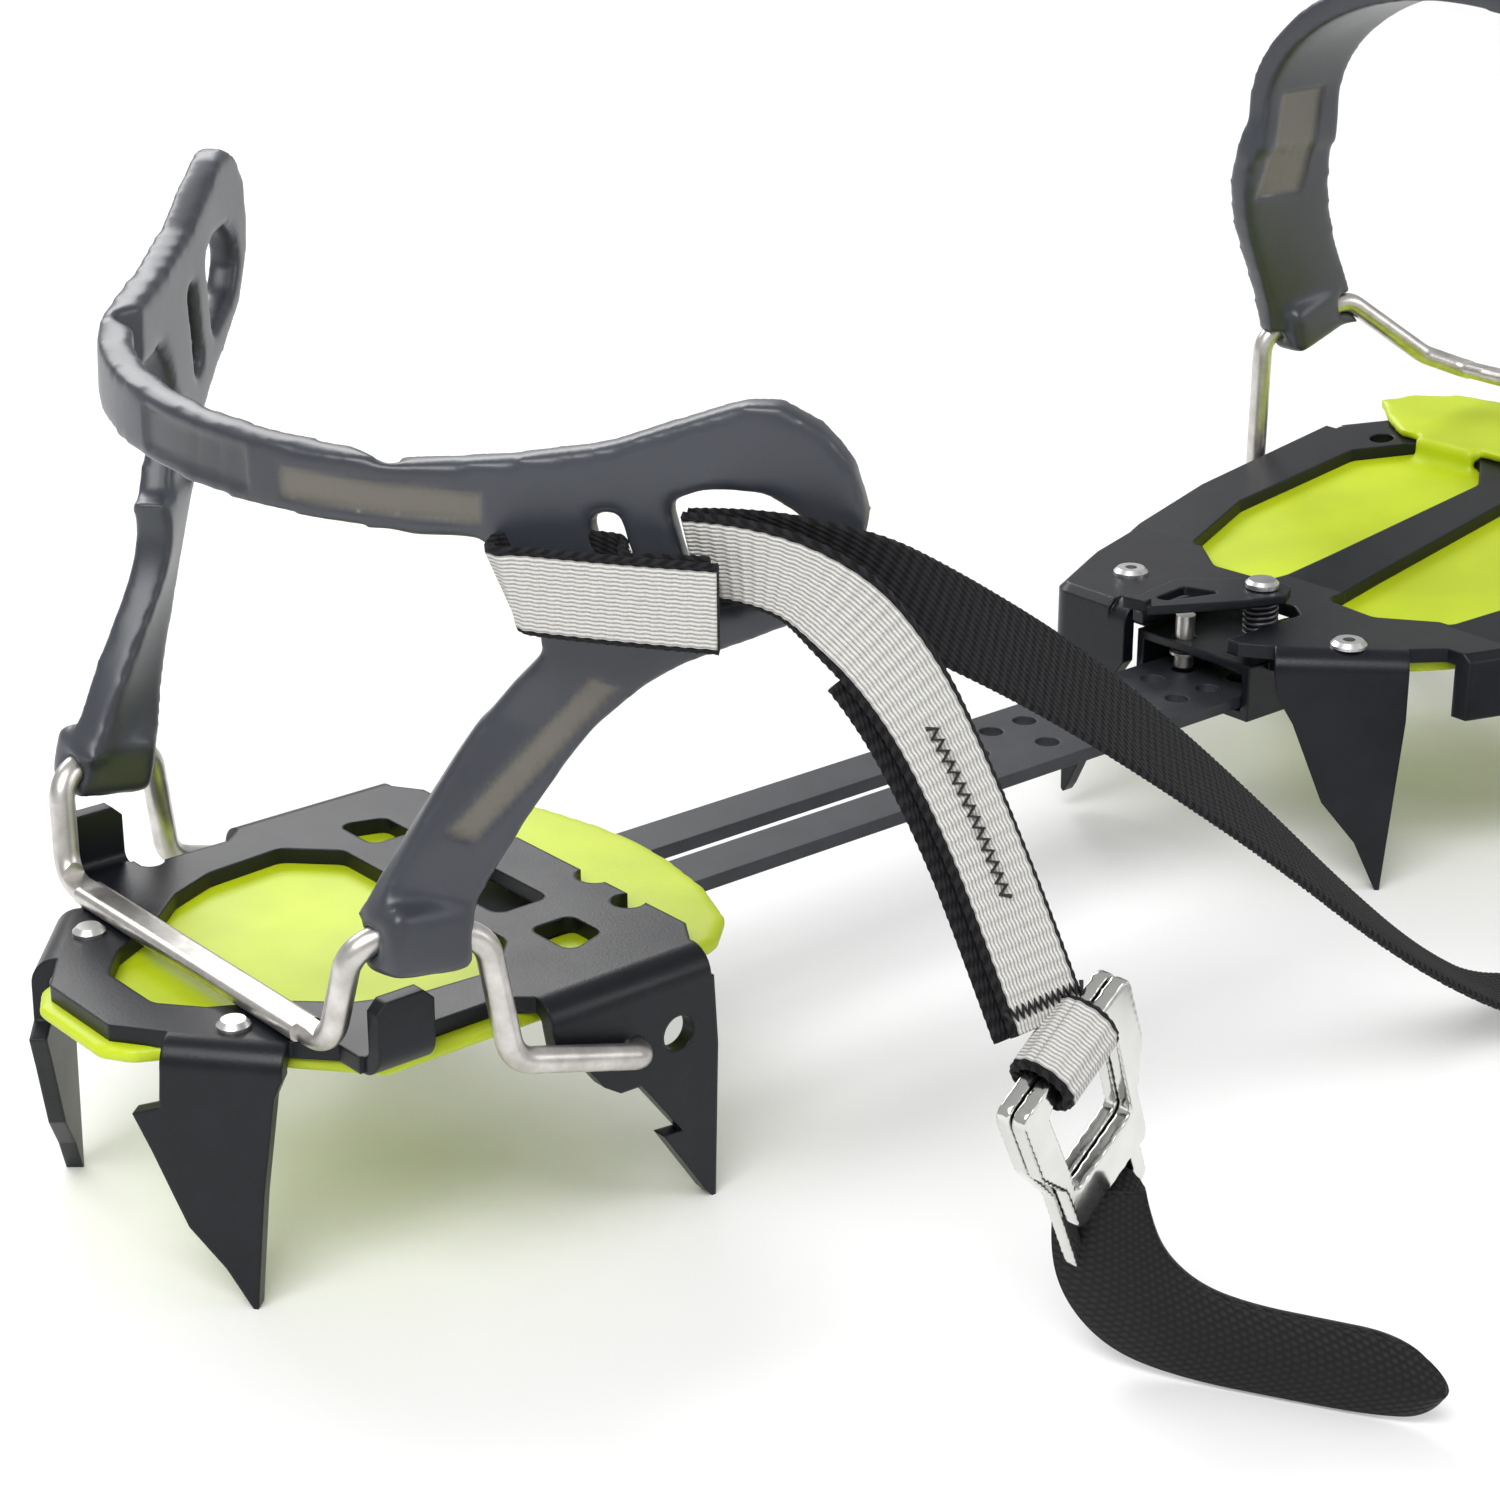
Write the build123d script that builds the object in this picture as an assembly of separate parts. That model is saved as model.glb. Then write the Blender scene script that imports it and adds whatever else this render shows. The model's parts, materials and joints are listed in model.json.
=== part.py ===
"""Twelve-point strap crampon: heel section, link bar, toe section, bindings and strap.

Millimetres, +X towards the toe, +Y to the wearer's left, +Z up, the points' tips on z = 0.
The heel section is drawn about its rivet line (HEEL_X) and the toe section about its own
(TOE_X), so each outline is a short list of corners measured from a rivet line.
"""
from build123d import *

import os
from math import cos, pi, radians, sin

# Driving dimensions -----------------------------------------------------------------
STEEL = 2.5              # frame sheet
FOLD_INNER = 1.5         # inside radius of each fold
FOLD_OUTER = STEEL + FOLD_INNER
HEEL_X = -164.7          # heel rivet line
TOE_X = HEEL_X + 218.0   # toe rivet line
MIDDLE_Y = 2.0           # middle plane of the frames; the harness reaches further to the right
HEEL_TOP = 39.5          # top of the heel frame above the ground
TOE_TOP = 44.0           # top of the toe frame above the ground
LIME = 2.4               # anti-balling sheet
WIRE = 3.8               # bail wire diameter
WIRE_BEND = 5.0          # centre-line radius of a bail bend
PIVOT_BEND = 2.4         # the same where a leg turns into its flange hole
PIVOT_CLEARANCE = 0.08   # radial clearance of a wire end in its flange hole
BAR_TOP = 33.0           # top of the link bar
BAR_THICK = 2.2
BAR_WIDTH = 22.6
HOLE_PITCH = 8.0         # length adjustment step
HOLE_ROW = 4.8           # each row of bar holes from the middle
PLASTIC = 5.0            # wall of the heel and toe harness
STRAP_WIDTH = 12.0
STRAP_THICK = 1.4
STRAP_TUBE = 5.0         # round stand-in with the webbing's own section area
ROCKER = 8.0             # upward slope of the front of the toe frame, degrees
ROCKER_X = 22.0          # where that slope starts, from the toe rivet line

HEEL_PIVOT = (47.1, 28.3)    # x from the heel rivets, z
HEEL_FACE = 42.4             # outer face of the heel side flanges
TOE_PIVOT = (64.0, 43.0)     # x from the toe rivets, z
TOE_FACE = 50.0              # outer face of the toe side rails
TOE_GAP = 0.6                # between a bail leg and the flange it turns beside
BAR_PIVOT = (50.0, 29.6)     # x from the heel rivets, z
BAR_PIN_R = 2.0
LEVER_PIVOT = (2.0, -4.0)    # x from the toe rivets, y
LATCH_HOLE = (-8.0, HOLE_ROW)


# Small helpers ----------------------------------------------------------------------
def both_sides(points):
    """Close an outline from its right half (y < 0), given from the rear to the front."""
    left = [(x, -y) for x, y in reversed(points) if abs(y) > 1e-6]
    return list(points) + left


def sheet(points, top, thick, radius=0.0):
    """A flat sheet from an outline, its top face at z = top."""
    face = make_face(Polyline(*points, close=True))
    if radius:
        face = fillet(face.vertices(), radius)
    return Pos(0, 0, top - thick) * extrude(face, thick)


def mirrored(solid):
    """A solid and its mirror image across the middle plane."""
    return solid + solid.mirror(Plane.XZ)


def fold_plane(origin, angle, top):
    """Local plane of a folded blade: X along the fold, Y up, Z outwards from the sheet."""
    along = Vector(cos(radians(angle)), sin(radians(angle)), 0)
    outward = Vector(along.Y, -along.X, 0)
    return Plane(origin=(*origin, top), x_dir=along, z_dir=outward)


def folded_blade(origin, angle, top, outline, fold_from, fold_to, up=False):
    """A blade bent down (or up) from a sheet whose edge is the fold line."""
    plane = fold_plane(origin, angle, top)
    blade = plane * Pos(0, 0, FOLD_INNER) * extrude(make_face(Polyline(*outline, close=True)), STEEL)
    centre = FOLD_INNER if up else -FOLD_OUTER
    profile = Plane(origin=(fold_from, centre, 0), x_dir=(0, 0, 1), z_dir=(1, 0, 0))
    half = FOLD_OUTER / 2
    quadrant = Pos(half, half if up else -half) * Rectangle(FOLD_OUTER, FOLD_OUTER)
    root_y = FOLD_INNER + STEEL / 2
    root = Pos(-0.3, root_y if up else -root_y) * Rectangle(0.8, STEEL)
    quarter = ((Circle(FOLD_OUTER) - Circle(FOLD_INNER)) & quadrant) + root
    return blade + plane * profile * extrude(quarter, fold_to - fold_from)


def wire(points):
    """Round wire along a bent centre line, with a tight first and last bend."""
    bends = [PIVOT_BEND] + [WIRE_BEND] * (len(points) - 4) + [PIVOT_BEND]
    path = FilletPolyline(*points, radius=bends)
    section = Plane(origin=path @ 0, z_dir=path % 0) * Circle(WIRE / 2)
    return sweep(section, path=path)


def rivet(x, y, top, bottom, head, tail, shank=1.6, bore=0.0):
    """A rivet with a domed head above `top` and a set tail below `bottom`."""
    dome = Pos(x, y, top) * extrude(Circle(head), 1.2)
    dome = chamfer(dome.edges().group_by(Axis.Z)[-1], 0.7)
    solid = dome + Pos(x, y, bottom) * extrude(Circle(shank), top - bottom + 0.1)
    solid += Pos(x, y, bottom - 0.9) * extrude(Circle(tail), 0.9)
    if bore:
        solid -= Pos(x, y, bottom - 2) * extrude(Circle(bore), top - bottom + 6)
    return solid


def window(points, radius):
    """A rounded cutter, tall enough to cut any sheet of the frames."""
    return sheet(points, 60, 40, radius)


# Heel section -----------------------------------------------------------------------
HEEL_RIVETS = [(-3.4, -19.5), (-3.4, 19.5)]
HEEL_CORNER = (-4.24, -23.03)
HEEL_CORNER_ANGLE = -50.0
HEEL_SIDE = (0.0, -(HEEL_FACE - FOLD_OUTER))
HEEL_HALF = [
    (-16, 0), (-16, -8), (-11.0, -15.0), (-0.05, -28.0), (4.5, -33), (4.5, -38.0),
    (14.5, -38.0), (14.5, -35.5), (29.5, -35.5), (33, -38.4), (60.5, -38.4), (64, -33), (64, 0),
]
MAIN_WINDOW = [
    (-8, 0), (-8, -6), (-3, -12), (6, -17), (13, -23.5), (21, -27), (34, -28), (41, -21), (41, 0),
]
NOTCH_WINDOW = [(45.5, -20), (53, -20), (53, -27.5), (45.5, -30)]
CORNER_BLADE = [
    (-10.5, -4), (-10.9, -9.5), (-14.8, -10.7), (-12.4, -16.2), (-9.6, -23.3), (-7.9, -27.5),
    (-3, -33.5), (0.5, -39.5), (1.2, -39.5), (3, -22), (5.2, -7), (6.5, -4),
]
SIDE_BLADE = [
    (33, -4), (34, -9.5), (38, -10.5), (41.7, -15.4), (44.5, -17.2), (48.2, -17.3),
    (52.7, -23.2), (55.6, -27), (52.1, -26.7), (59.8, -38.2), (61, -39.5), (61.6, -39.5),
    (62.2, -15), (61.5, -4),
]
TAB = [(5, 1.5), (14, 1.5), (14, 7.3), (12.5, 8.8), (6.5, 8.8), (5, 7.3)]


def heel_frame():
    plate = sheet(both_sides(HEEL_HALF), HEEL_TOP, STEEL)
    corner = folded_blade(HEEL_CORNER, HEEL_CORNER_ANGLE, HEEL_TOP, CORNER_BLADE, -10.5, 6.5)
    side = folded_blade(HEEL_SIDE, 0, HEEL_TOP, SIDE_BLADE, 33, 61)
    tab = folded_blade((0, -38.0), 0, HEEL_TOP, TAB, 5, 14, up=True)
    frame = plate + mirrored(corner) + mirrored(side) + mirrored(tab)
    frame -= window(both_sides(MAIN_WINDOW), 3)
    frame -= window([(45, -13), (54.5, -13), (54.5, 13), (45, 13)], 2)
    for sign in (-1, 1):
        frame -= window([(x, -sign * y) for x, y in NOTCH_WINDOW], 1.8)
        frame -= Pos(64.5, sign * 11, 0) * extrude(Circle(3.0), 60)
        frame -= Pos(62.5, sign * 21.5, 0) * extrude(Circle(2.6), 60)
        frame -= Pos(16.5, sign * 36.2, 0) * extrude(Circle(2.0), 60)
        for x, radius in ((HEEL_PIVOT[0], WIRE / 2 + PIVOT_CLEARANCE), (55.0, 2.7)):
            hole = Plane(origin=(x, sign * 50, HEEL_PIVOT[1]), z_dir=(0, -sign, 0)) * Circle(radius)
            frame -= extrude(hole, 14)
    for x, y in HEEL_RIVETS:
        frame -= Pos(x, y, 30) * extrude(Circle(1.6), 15)
    return frame


LIME_HEEL_HALF = [
    (-18, 0), (-18, -8), (-15.2, -12.4), (-12.2, -14.0), (-10.0, -15.2), (0.8, -28.0), (6, -34), (9, -37.6),
    (61, -37.6), (68, -35.5), (73.5, -30.5), (78, -20), (80.5, -8), (81, 0),
]


def heel_antiball_plate():
    plate = sheet(both_sides(LIME_HEEL_HALF), HEEL_TOP - STEEL, LIME)
    rim = plate.edges().group_by(Axis.Z)[0]
    plate = chamfer(rim, 0.6)
    plate -= window([(43.5, -19.5), (57.5, -19.5), (57.5, 19.5), (43.5, 19.5)], 2)
    for x, y in HEEL_RIVETS:
        plate -= Pos(x, y, 30) * extrude(Circle(1.6), 15)
    return plate


def heel_rivets():
    bottom = HEEL_TOP - STEEL - LIME
    return [rivet(x, y, HEEL_TOP, bottom, 2.4, 2.4) for x, y in HEEL_RIVETS]


def heel_bar_stirrup():
    """Two ears under the heel frame that carry the link bar's hinge pin."""
    x, z = BAR_PIVOT
    top = HEEL_TOP - STEEL
    ear = [(44.5, -top), (55.5, -top), (55.5, -32), (53.4, -26.2), (46.6, -26.2), (44.5, -32)]
    face = make_face(Polyline(*[(a, -b) for a, b in ear], close=True))
    ears = Plane(origin=(0, -12.2, 0), x_dir=(1, 0, 0), z_dir=(0, -1, 0)) * extrude(face, 2.0)
    foot = Pos(50, -15.5, top - 1) * Box(11, 6.6, 2)
    hole = Plane(origin=(x, -20, z), z_dir=(0, 1, 0)) * Circle(BAR_PIN_R)
    return mirrored(ears + foot - extrude(hole, 20))


def bar_hinge_pin():
    x, z = BAR_PIVOT
    shank = Plane(origin=(x, -15.2, z), z_dir=(0, 1, 0)) * Circle(BAR_PIN_R)
    pin = extrude(shank, 30.4)
    for sign in (-1, 1):
        head = Plane(origin=(x, sign * 14.2, z), z_dir=(0, sign, 0)) * Circle(BAR_PIN_R + 1.0)
        pin += extrude(head, 1.2)
    return pin


# Link bar ---------------------------------------------------------------------------
BAR_FRONT = 250.0
SLOT_FROM = 66.0
SLOT_TO = 151.0
FIRST_HOLE = 162.0


def link_bar():
    x, z = BAR_PIVOT
    middle = BAR_TOP - BAR_THICK / 2
    strip = Pos((x + BAR_FRONT) / 2, 0, middle) * Box(BAR_FRONT - x, BAR_WIDTH, BAR_THICK)
    strip = fillet(strip.edges().filter_by(Axis.Z).group_by(Axis.X)[-1], 6)
    eye = Plane(origin=(x, -BAR_WIDTH / 2, z), z_dir=(0, 1, 0)) * Circle(BAR_PIN_R + 1.4)
    bar = strip + extrude(eye, BAR_WIDTH)
    bore = Plane(origin=(x, -BAR_WIDTH, z), z_dir=(0, 1, 0)) * Circle(BAR_PIN_R + 0.06)
    bar -= extrude(bore, 2 * BAR_WIDTH)
    slot = Pos((SLOT_FROM + SLOT_TO) / 2, 0) * SlotCenterToCenter(SLOT_TO - SLOT_FROM, 5.0)
    bar -= Pos(0, 0, 28) * extrude(slot, 10)
    bar -= Pos(SLOT_TO + 1, 0, 28) * extrude(Circle(3.6), 10)
    for i in range(11):
        for row, shift in ((HOLE_ROW, 0), (-HOLE_ROW, HOLE_PITCH / 2)):
            bar -= Pos(FIRST_HOLE + i * HOLE_PITCH + shift, row, 28) * extrude(Circle(2.1), 10)
    return bar


# Heel bail and harness --------------------------------------------------------------
BAIL_Y = HEEL_FACE + TOE_GAP + WIRE / 2
CROSSBAR_X = 2.0
CROSSBAR_Z = HEEL_TOP + 1.5
LUG_REAR = (3.9, -38.5, 57.0)
LUG_FRONT = (21.5, -43.4, 54.6)


def flattened_crossbar(x, z, half_width):
    bar = Pos(x, 0, z) * Box(5.0, 2 * half_width, 2.7)
    return fillet(bar.edges().filter_by(Axis.Y), 1.2)


def bail(points, x, z, half_width):
    """A symmetric bail from one leg's points, with its crossbar pressed flat."""
    path = points + [(a, -b, c) for a, b, c in reversed(points)]
    solid = wire(path)
    for sign in (-1, 1):
        solid -= Pos(x, 0, z + sign * (1.35 + 2)) * Box(8, 2 * half_width + 9, 4)
    return solid + flattened_crossbar(x, z, half_width)


def heel_bail_wire():
    x, z = HEEL_PIVOT
    leg = [
        (x, -36.5, z), (x, -BAIL_Y, z), (24.3, -BAIL_Y, 35.2),
        LUG_FRONT, LUG_REAR, (CROSSBAR_X, -35.0, CROSSBAR_Z),
    ]
    return bail(leg, CROSSBAR_X, CROSSBAR_Z, 29.0)


ARM_ANGLE = -49.6
ARM_ORIGIN = (20.0, -42.0)
REAR_RADIUS = 55.4
LEFT_ARM_TURN = -6.0         # the left arm is splayed less than the right
LEFT_ARM_SHIFT = (1.8, 0.8)
HARNESS_LEAN = 5.0
BAND_BOTTOM = 108.8
BAND_TOP = 118.4
LEFT_LEG_TOP = ((27.6, -49.0), 92.8, -41.0, 15.2)
ARM_TOP = [(-8, 118.4), (6, 119.6), (19, 121.8), (29, 125.4), (36.5, 128), (41.5, 128.1)]
ARM_TIP = [(46.4, 125.5), (50.4, 121), (52.4, 114.5), (50.8, 107), (46, 101)]
ARM_BOTTOM = [
    (36, 96.6), (29, 93.6), (23.6, 90.1), (17, 84), (2.2, 84), (6.5, 89.4), (10.8, 94),
    (10.2, 98), (6.8, 105), (3.2, 108.9), (-8, 108.8),
]
SLOT_ONE = [(17.0, 113), (21.0, 113.4), (24.9, 99.4), (20.9, 98.0)]
SLOT_TWO = [
    (27.2, 115), (32, 116.8), (39, 116.8), (44.5, 113.5), (46.2, 108.5), (43, 104.6), (37, 102.8), (31, 101.4),
]
LEG_SECTIONS = [
    ((26.2, -49.3), 84.2, -49.6, 15.2), ((20.8, -46.2), 75.0, -40.0, 14.4),
    ((16.0, -43.9), 66.0, -28.0, 14.2), ((12.7, -41.4), 58.0, -15.0, 15.0),
]


def arm_plane():
    along = Vector(cos(radians(ARM_ANGLE)), sin(radians(ARM_ANGLE)), 0)
    outward = Vector(along.Y, -along.X, 0)
    return Plane(origin=(*ARM_ORIGIN, 0), x_dir=along, z_dir=outward)


def harness_arm():
    outline = make_face(Polyline(*ARM_TOP, *ARM_TIP, *ARM_BOTTOM, close=True))
    for slot in (SLOT_ONE, SLOT_TWO):
        face = make_face(Polyline(*slot, close=True))
        outline -= fillet(face.vertices(), 1.2)
    return arm_plane() * extrude(outline, -PLASTIC)


def harness_leg(extra=()):
    """One leg with its lug, lofted between level sections; `extra` ones lengthen it."""
    sections = []
    for (x, y), z, angle, width in (*extra, *LEG_SECTIONS):
        turned = (cos(radians(angle)), sin(radians(angle)), 0)
        local = Plane(origin=(x, y, z), x_dir=turned, z_dir=(0, 0, 1))
        sections.append(local * Pos(0, 2.6) * Rectangle(width, PLASTIC + 0.6))
    front = Vector(*LUG_FRONT)
    rear = Vector(*LUG_REAR)
    lug_plane = Plane(origin=(front + rear) * 0.5, x_dir=front - rear, z_dir=(0, -1, 0.12))
    return loft(sections) + lug_plane * fillet(Box(13.6, 9.6, 9.0).edges(), 1.8)


def rear_band():
    """The arc round the heel, up to where each arm leaves it in a straight line."""
    side = 140
    start_x = ARM_ORIGIN[0] - 8 * cos(radians(ARM_ANGLE))
    centre_x = start_x + REAR_RADIUS * cos(radians(90 + ARM_ANGLE))
    ring = Pos(centre_x, 0) * (Circle(REAR_RADIUS) - Circle(REAR_RADIUS - PLASTIC))
    keep = Pos(start_x + 0.1 - side / 2, 0) * Rectangle(side, side)
    left_end = Pos(start_x - 6, 41) * Rectangle(28, 14)
    return Pos(0, 0, BAND_BOTTOM) * extrude(ring & (keep + left_end), BAND_TOP - BAND_BOTTOM)


def leaned(solid):
    """The harness leans: it is higher on the left, hinged about its right-hand arm."""
    pivot = Pos(0, ARM_ORIGIN[1], BAND_BOTTOM)
    return pivot * Rot(HARNESS_LEAN, 0, 0) * pivot.inverse() * solid


def heel_harness():
    arm = harness_arm()
    leg = harness_leg()
    start = Vector(*ARM_ORIGIN, 0)
    turned = Pos(*start) * Rot(0, 0, -LEFT_ARM_TURN) * Pos(*-start) * arm
    left_arm = Pos(*LEFT_ARM_SHIFT, 0) * turned.mirror(Plane.XZ)
    left_leg = harness_leg([LEFT_LEG_TOP]).mirror(Plane.XZ)
    upper = leaned(rear_band() + left_arm)
    return arm + leg + upper + left_leg - heel_bail_wire()


# Toe section ------------------------------------------------------------------------
TOE_RIVETS = [(0.0, -26.0), (0.0, 26.0)]
TOE_CORNER = (4.83, -32.17)
TOE_CORNER_ANGLE = -45.0
TOE_EDGE = -(TOE_FACE - FOLD_OUTER)
TOE_RIGHT = [
    (-13.5, 0), (-13.5, -12.5), (-10.5, -16.84), (6.6, -33.9), (14, -39.5), (26, -43.5), (44, TOE_EDGE),
    (84, TOE_EDGE), (96, -36), (98, -28), (98, 0),
]
TOE_LEFT = [
    (98, 28), (96, 36), (84, -TOE_EDGE), (46, -TOE_EDGE), (25, 42.8), (5.5, 36.5), (-10, 29), (-10, 13.5),
    (-13.5, 12.5),
]
TOE_OUTLINE = TOE_RIGHT + TOE_LEFT
RIGHT_REAR_BLADE = [
    (-20.6, -4), (-20, -8), (-17, -13), (-11.2, -27.5), (-5, -35), (-0.8, -44), (0, -44), (2.4, -12), (2.4, -4),
]
LEFT_REAR_EDGE = (-10.0, 22.0)
LEFT_REAR_BLADE = [
    (-7, -4), (-7, -12), (-6.4, -40), (-5.8, -40.5), (-4.8, -39), (0.5, -28), (4.5, -16), (8, -11), (8, -4),
]
RAIL_BLADE = [
    (40, -4), (40, -10), (44, -12), (50, -16), (56, -35), (60, -48.9), (61, -48.9), (64, -31), (70, -16), (80, -12),
    (80, -4),
]
SKIRT = 12.0                 # depth of the turned-down rim
FRONT_TILT = 38.0            # the front points lean this far from straight down
FRONT_CORNER = (90.0, -41.0)
FRONT_CORNER_ANGLE = 39.8
FRONT_CORNER_BLADE = [
    (-8, -4), (-8.5, -9), (-5, -20), (0, -46), (2.5, -53.1), (3.2, -53.1), (5, -36), (8, -4),
]
FRONT_POINT = [(-8, -2), (-8, -14), (-2.4, -41), (0, -45.5), (2.4, -41), (8, -14), (8, -2)]
TOE_MAIN_WINDOW = [
    (16, -7), (34, -6), (76, -4.5), (86, -12), (86, -28), (76, -36), (44, -37), (24, -31), (15, -19),
]


def rocker_split(flat, hinge_z):
    """Bend a flat-drawn toe part upwards ahead of the rocker line."""
    rear = flat & Pos(ROCKER_X - 200, 0, 0) * Box(400, 200, 200)
    front = flat & Pos(ROCKER_X + 200, 0, 0) * Box(400, 200, 200)
    lifted = Pos(ROCKER_X, 0, hinge_z) * Rot(0, -ROCKER, 0) * Pos(-ROCKER_X, 0, -hinge_z) * front
    return rear + lifted


def front_point(y):
    slope = Pos(98.0, y, TOE_TOP - STEEL / 2) * Rot(0, -FRONT_TILT, 0)
    blade = Plane(origin=(0, 0, 0), x_dir=(0, 1, 0), z_dir=(1, 0, 0)) * extrude(
        make_face(Polyline(*FRONT_POINT, close=True)), STEEL)
    root = Pos(97.0, y, TOE_TOP - STEEL) * Box(4, 16, 2 * STEEL)
    return slope * Pos(-STEEL / 2, 0, 0) * blade + root


def rail_skirt():
    """Turned-down rim along the toe frame's sides."""
    face = make_face(Polyline(*TOE_OUTLINE, close=True))
    outer = offset(face, FOLD_OUTER, kind=Kind.ARC)
    inner = offset(face, FOLD_INNER, kind=Kind.ARC)
    ring = extrude(outer - inner, SKIRT)
    cap = Pos(0, 0, SKIRT - STEEL) * extrude(outer - face, STEEL)
    rim = Pos(0, 0, TOE_TOP - SKIRT) * (ring + cap)
    rim = chamfer(rim.faces().sort_by(Axis.Z)[-1].outer_wire().edges(), 1.4)
    sides = Pos(12 + 35.5, 0, TOE_TOP) * Box(71, 200, 40)
    left_rear = Pos(-1, 60, TOE_TOP) * Box(30, 84, 40)
    return rim & (sides + left_rear)


def front_frame():
    plate = sheet(TOE_OUTLINE, TOE_TOP, STEEL) + rail_skirt()
    right_rear = folded_blade(TOE_CORNER, TOE_CORNER_ANGLE, TOE_TOP, RIGHT_REAR_BLADE, -20.6, 2.4)
    left_rear = folded_blade(LEFT_REAR_EDGE, -90, TOE_TOP, LEFT_REAR_BLADE, -7, 8)
    rail = folded_blade((0, TOE_EDGE), 0, TOE_TOP, RAIL_BLADE, 44, 74)
    nose = folded_blade(FRONT_CORNER, FRONT_CORNER_ANGLE, TOE_TOP, FRONT_CORNER_BLADE, -7, 8)
    flat = plate + right_rear + left_rear + mirrored(rail) + mirrored(nose)
    flat += front_point(-17) + front_point(17)
    for sign in (-1, 1):
        flat -= window([(x, -sign * y) for x, y in TOE_MAIN_WINDOW], 3)
        flat -= Pos(84, sign * 35, 0) * extrude(Circle(2.4), 60)
    flat -= window([(-20, -10), (6, -10), (9, -6), (9, 6), (6, 10), (-20, 10)], 1.5)
    for x, y in TOE_RIVETS:
        flat -= Pos(x, y, 30) * extrude(Circle(1.6), 20)
    frame = rocker_split(flat, TOE_TOP - SKIRT)
    across = Plane(origin=(TOE_PIVOT[0], -60, TOE_PIVOT[1]), z_dir=(0, 1, 0))
    return frame - extrude(across * Circle(WIRE / 2 + PIVOT_CLEARANCE), 120)


TOE_LIME_RIGHT = [
    (-8.5, 0), (-8.5, -13), (3, -30), (14, -37), (26, -41), (44, -44), (83, -44), (89, -38.5), (89, 0),
]
TOE_LIME_LEFT = [(89, 38.5), (83, 44), (46, 44), (25, 41), (5.5, 34.5), (-8.5, 26.5)]
LIP_HALF = [(86.4, 0), (86.4, -32), (90, -38), (97, -46), (103, -42), (108, -34), (110, -22), (110, 0)]
LIP_THICK = 1.8


def front_antiball_plate():
    """Flexible sheet below the toe frame; its lip comes up through the windows and over the nose."""
    flat = sheet(TOE_LIME_RIGHT + TOE_LIME_LEFT, TOE_TOP - STEEL, LIME)
    flat -= window([(-12, -16), (15, -16), (15, 16), (-12, 16)], 2)
    lip = sheet(both_sides(LIP_HALF), TOE_TOP + LIP_THICK, LIP_THICK)
    for sign in (-1, 1):
        bridge = Pos(85.1, sign * 20, TOE_TOP - STEEL) * Box(1.6, 14, 5)
        lip += bridge + Pos(85.6, sign * 20, TOE_TOP + LIP_THICK / 2) * Box(2.6, 14, LIP_THICK)
        flat -= Pos(0, sign * 26, 30) * extrude(Circle(1.6), 20)
    for sign in (-1, 1):
        flat -= Pos(91.5, sign * 41.0, 30) * Rot(0, 0, -sign * FRONT_CORNER_ANGLE) * Box(18, 6, 60)
    return rocker_split(flat + lip, TOE_TOP - SKIRT)


def front_rivets():
    bottom = GUIDE_TOP - GUIDE_WALL
    return [rivet(x, y, TOE_TOP, bottom, 3.2, 2.2, bore=1.1) for x, y in TOE_RIVETS]


GUIDE_WALL = 1.6
GUIDE_INNER = BAR_WIDTH / 2 + 0.5
GUIDE_TOP = TOE_TOP - STEEL - LIME
GUIDE_EAR = [(-6, -13), (-6, -20), (0.8, -28), (6, -28), (6, -13)]


def bar_guide():
    """Sleeve under the toe frame that the link bar slides through."""
    low = BAR_TOP - BAR_THICK - 0.4
    outer = GUIDE_INNER + GUIDE_WALL
    bottom = low - GUIDE_WALL
    sleeve = Pos(0, 0, (GUIDE_TOP + bottom) / 2) * Box(22, 2 * outer, GUIDE_TOP - bottom)
    ceiling = GUIDE_TOP - GUIDE_WALL
    sleeve -= Pos(0, 0, (low + ceiling) / 2) * Box(24, 2 * GUIDE_INNER, ceiling - low)
    sleeve += mirrored(sheet(GUIDE_EAR, GUIDE_TOP, GUIDE_WALL))
    holes = [(*TOE_RIVETS[0], 1.6), (*TOE_RIVETS[1], 1.6), (*LATCH_HOLE, 1.9), (*LEVER_PIVOT, 1.6)]
    for x, y, radius in holes:
        sleeve -= Pos(x, y, ceiling - 1) * extrude(Circle(radius), GUIDE_WALL + 2)
    return sleeve


LEVER_Z = 46.9
LEVER_THICK = 1.6


def latch_lever():
    corners = [(7.5, -6.5), (4.5, 0.8), (-6, 9.5), (-20, 7), (-22, 2.5), (-6, -6.5), (2, -9.5)]
    plate = sheet(corners, LEVER_Z + LEVER_THICK, LEVER_THICK, 2.2)
    plate -= window([(-5, -1.5), (-8, 5.6), (-17, 4.6), (-16, 2.2)], 1.0)
    tail = Pos(-21.0, 4.75, LEVER_Z + LEVER_THICK) * Rot(0, 0, 12) * Box(2.0, 4.6, 2.0)
    x, y = LEVER_PIVOT
    return plate + tail - Pos(x, y, 40) * extrude(Circle(1.67), 20)


def latch_pivot():
    x, y = LEVER_PIVOT
    top = LEVER_Z + LEVER_THICK + 0.25
    low = GUIDE_TOP - GUIDE_WALL
    stem = Pos(x, y, low - 0.8) * extrude(Circle(1.6), top - low + 0.8)
    head = chamfer((Pos(x, y, top) * extrude(Circle(3.0), 1.4)).edges().group_by(Axis.Z)[-1], 0.6)
    foot = Pos(x, y, low - 0.8) * extrude(Circle(2.6), 0.8)
    return stem + head + foot


def ring_stack(x, y, z, radius, section, count, pitch):
    """Close-wound spring turns, one ring for each turn."""
    return [Pos(x, y, z + i * pitch) * Torus(radius, section) for i in range(count)]


def lever_spring():
    x, y = LEVER_PIVOT
    return ring_stack(x, y, GUIDE_TOP + 0.6, 2.75, 0.5, 7, 1.05)


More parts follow.
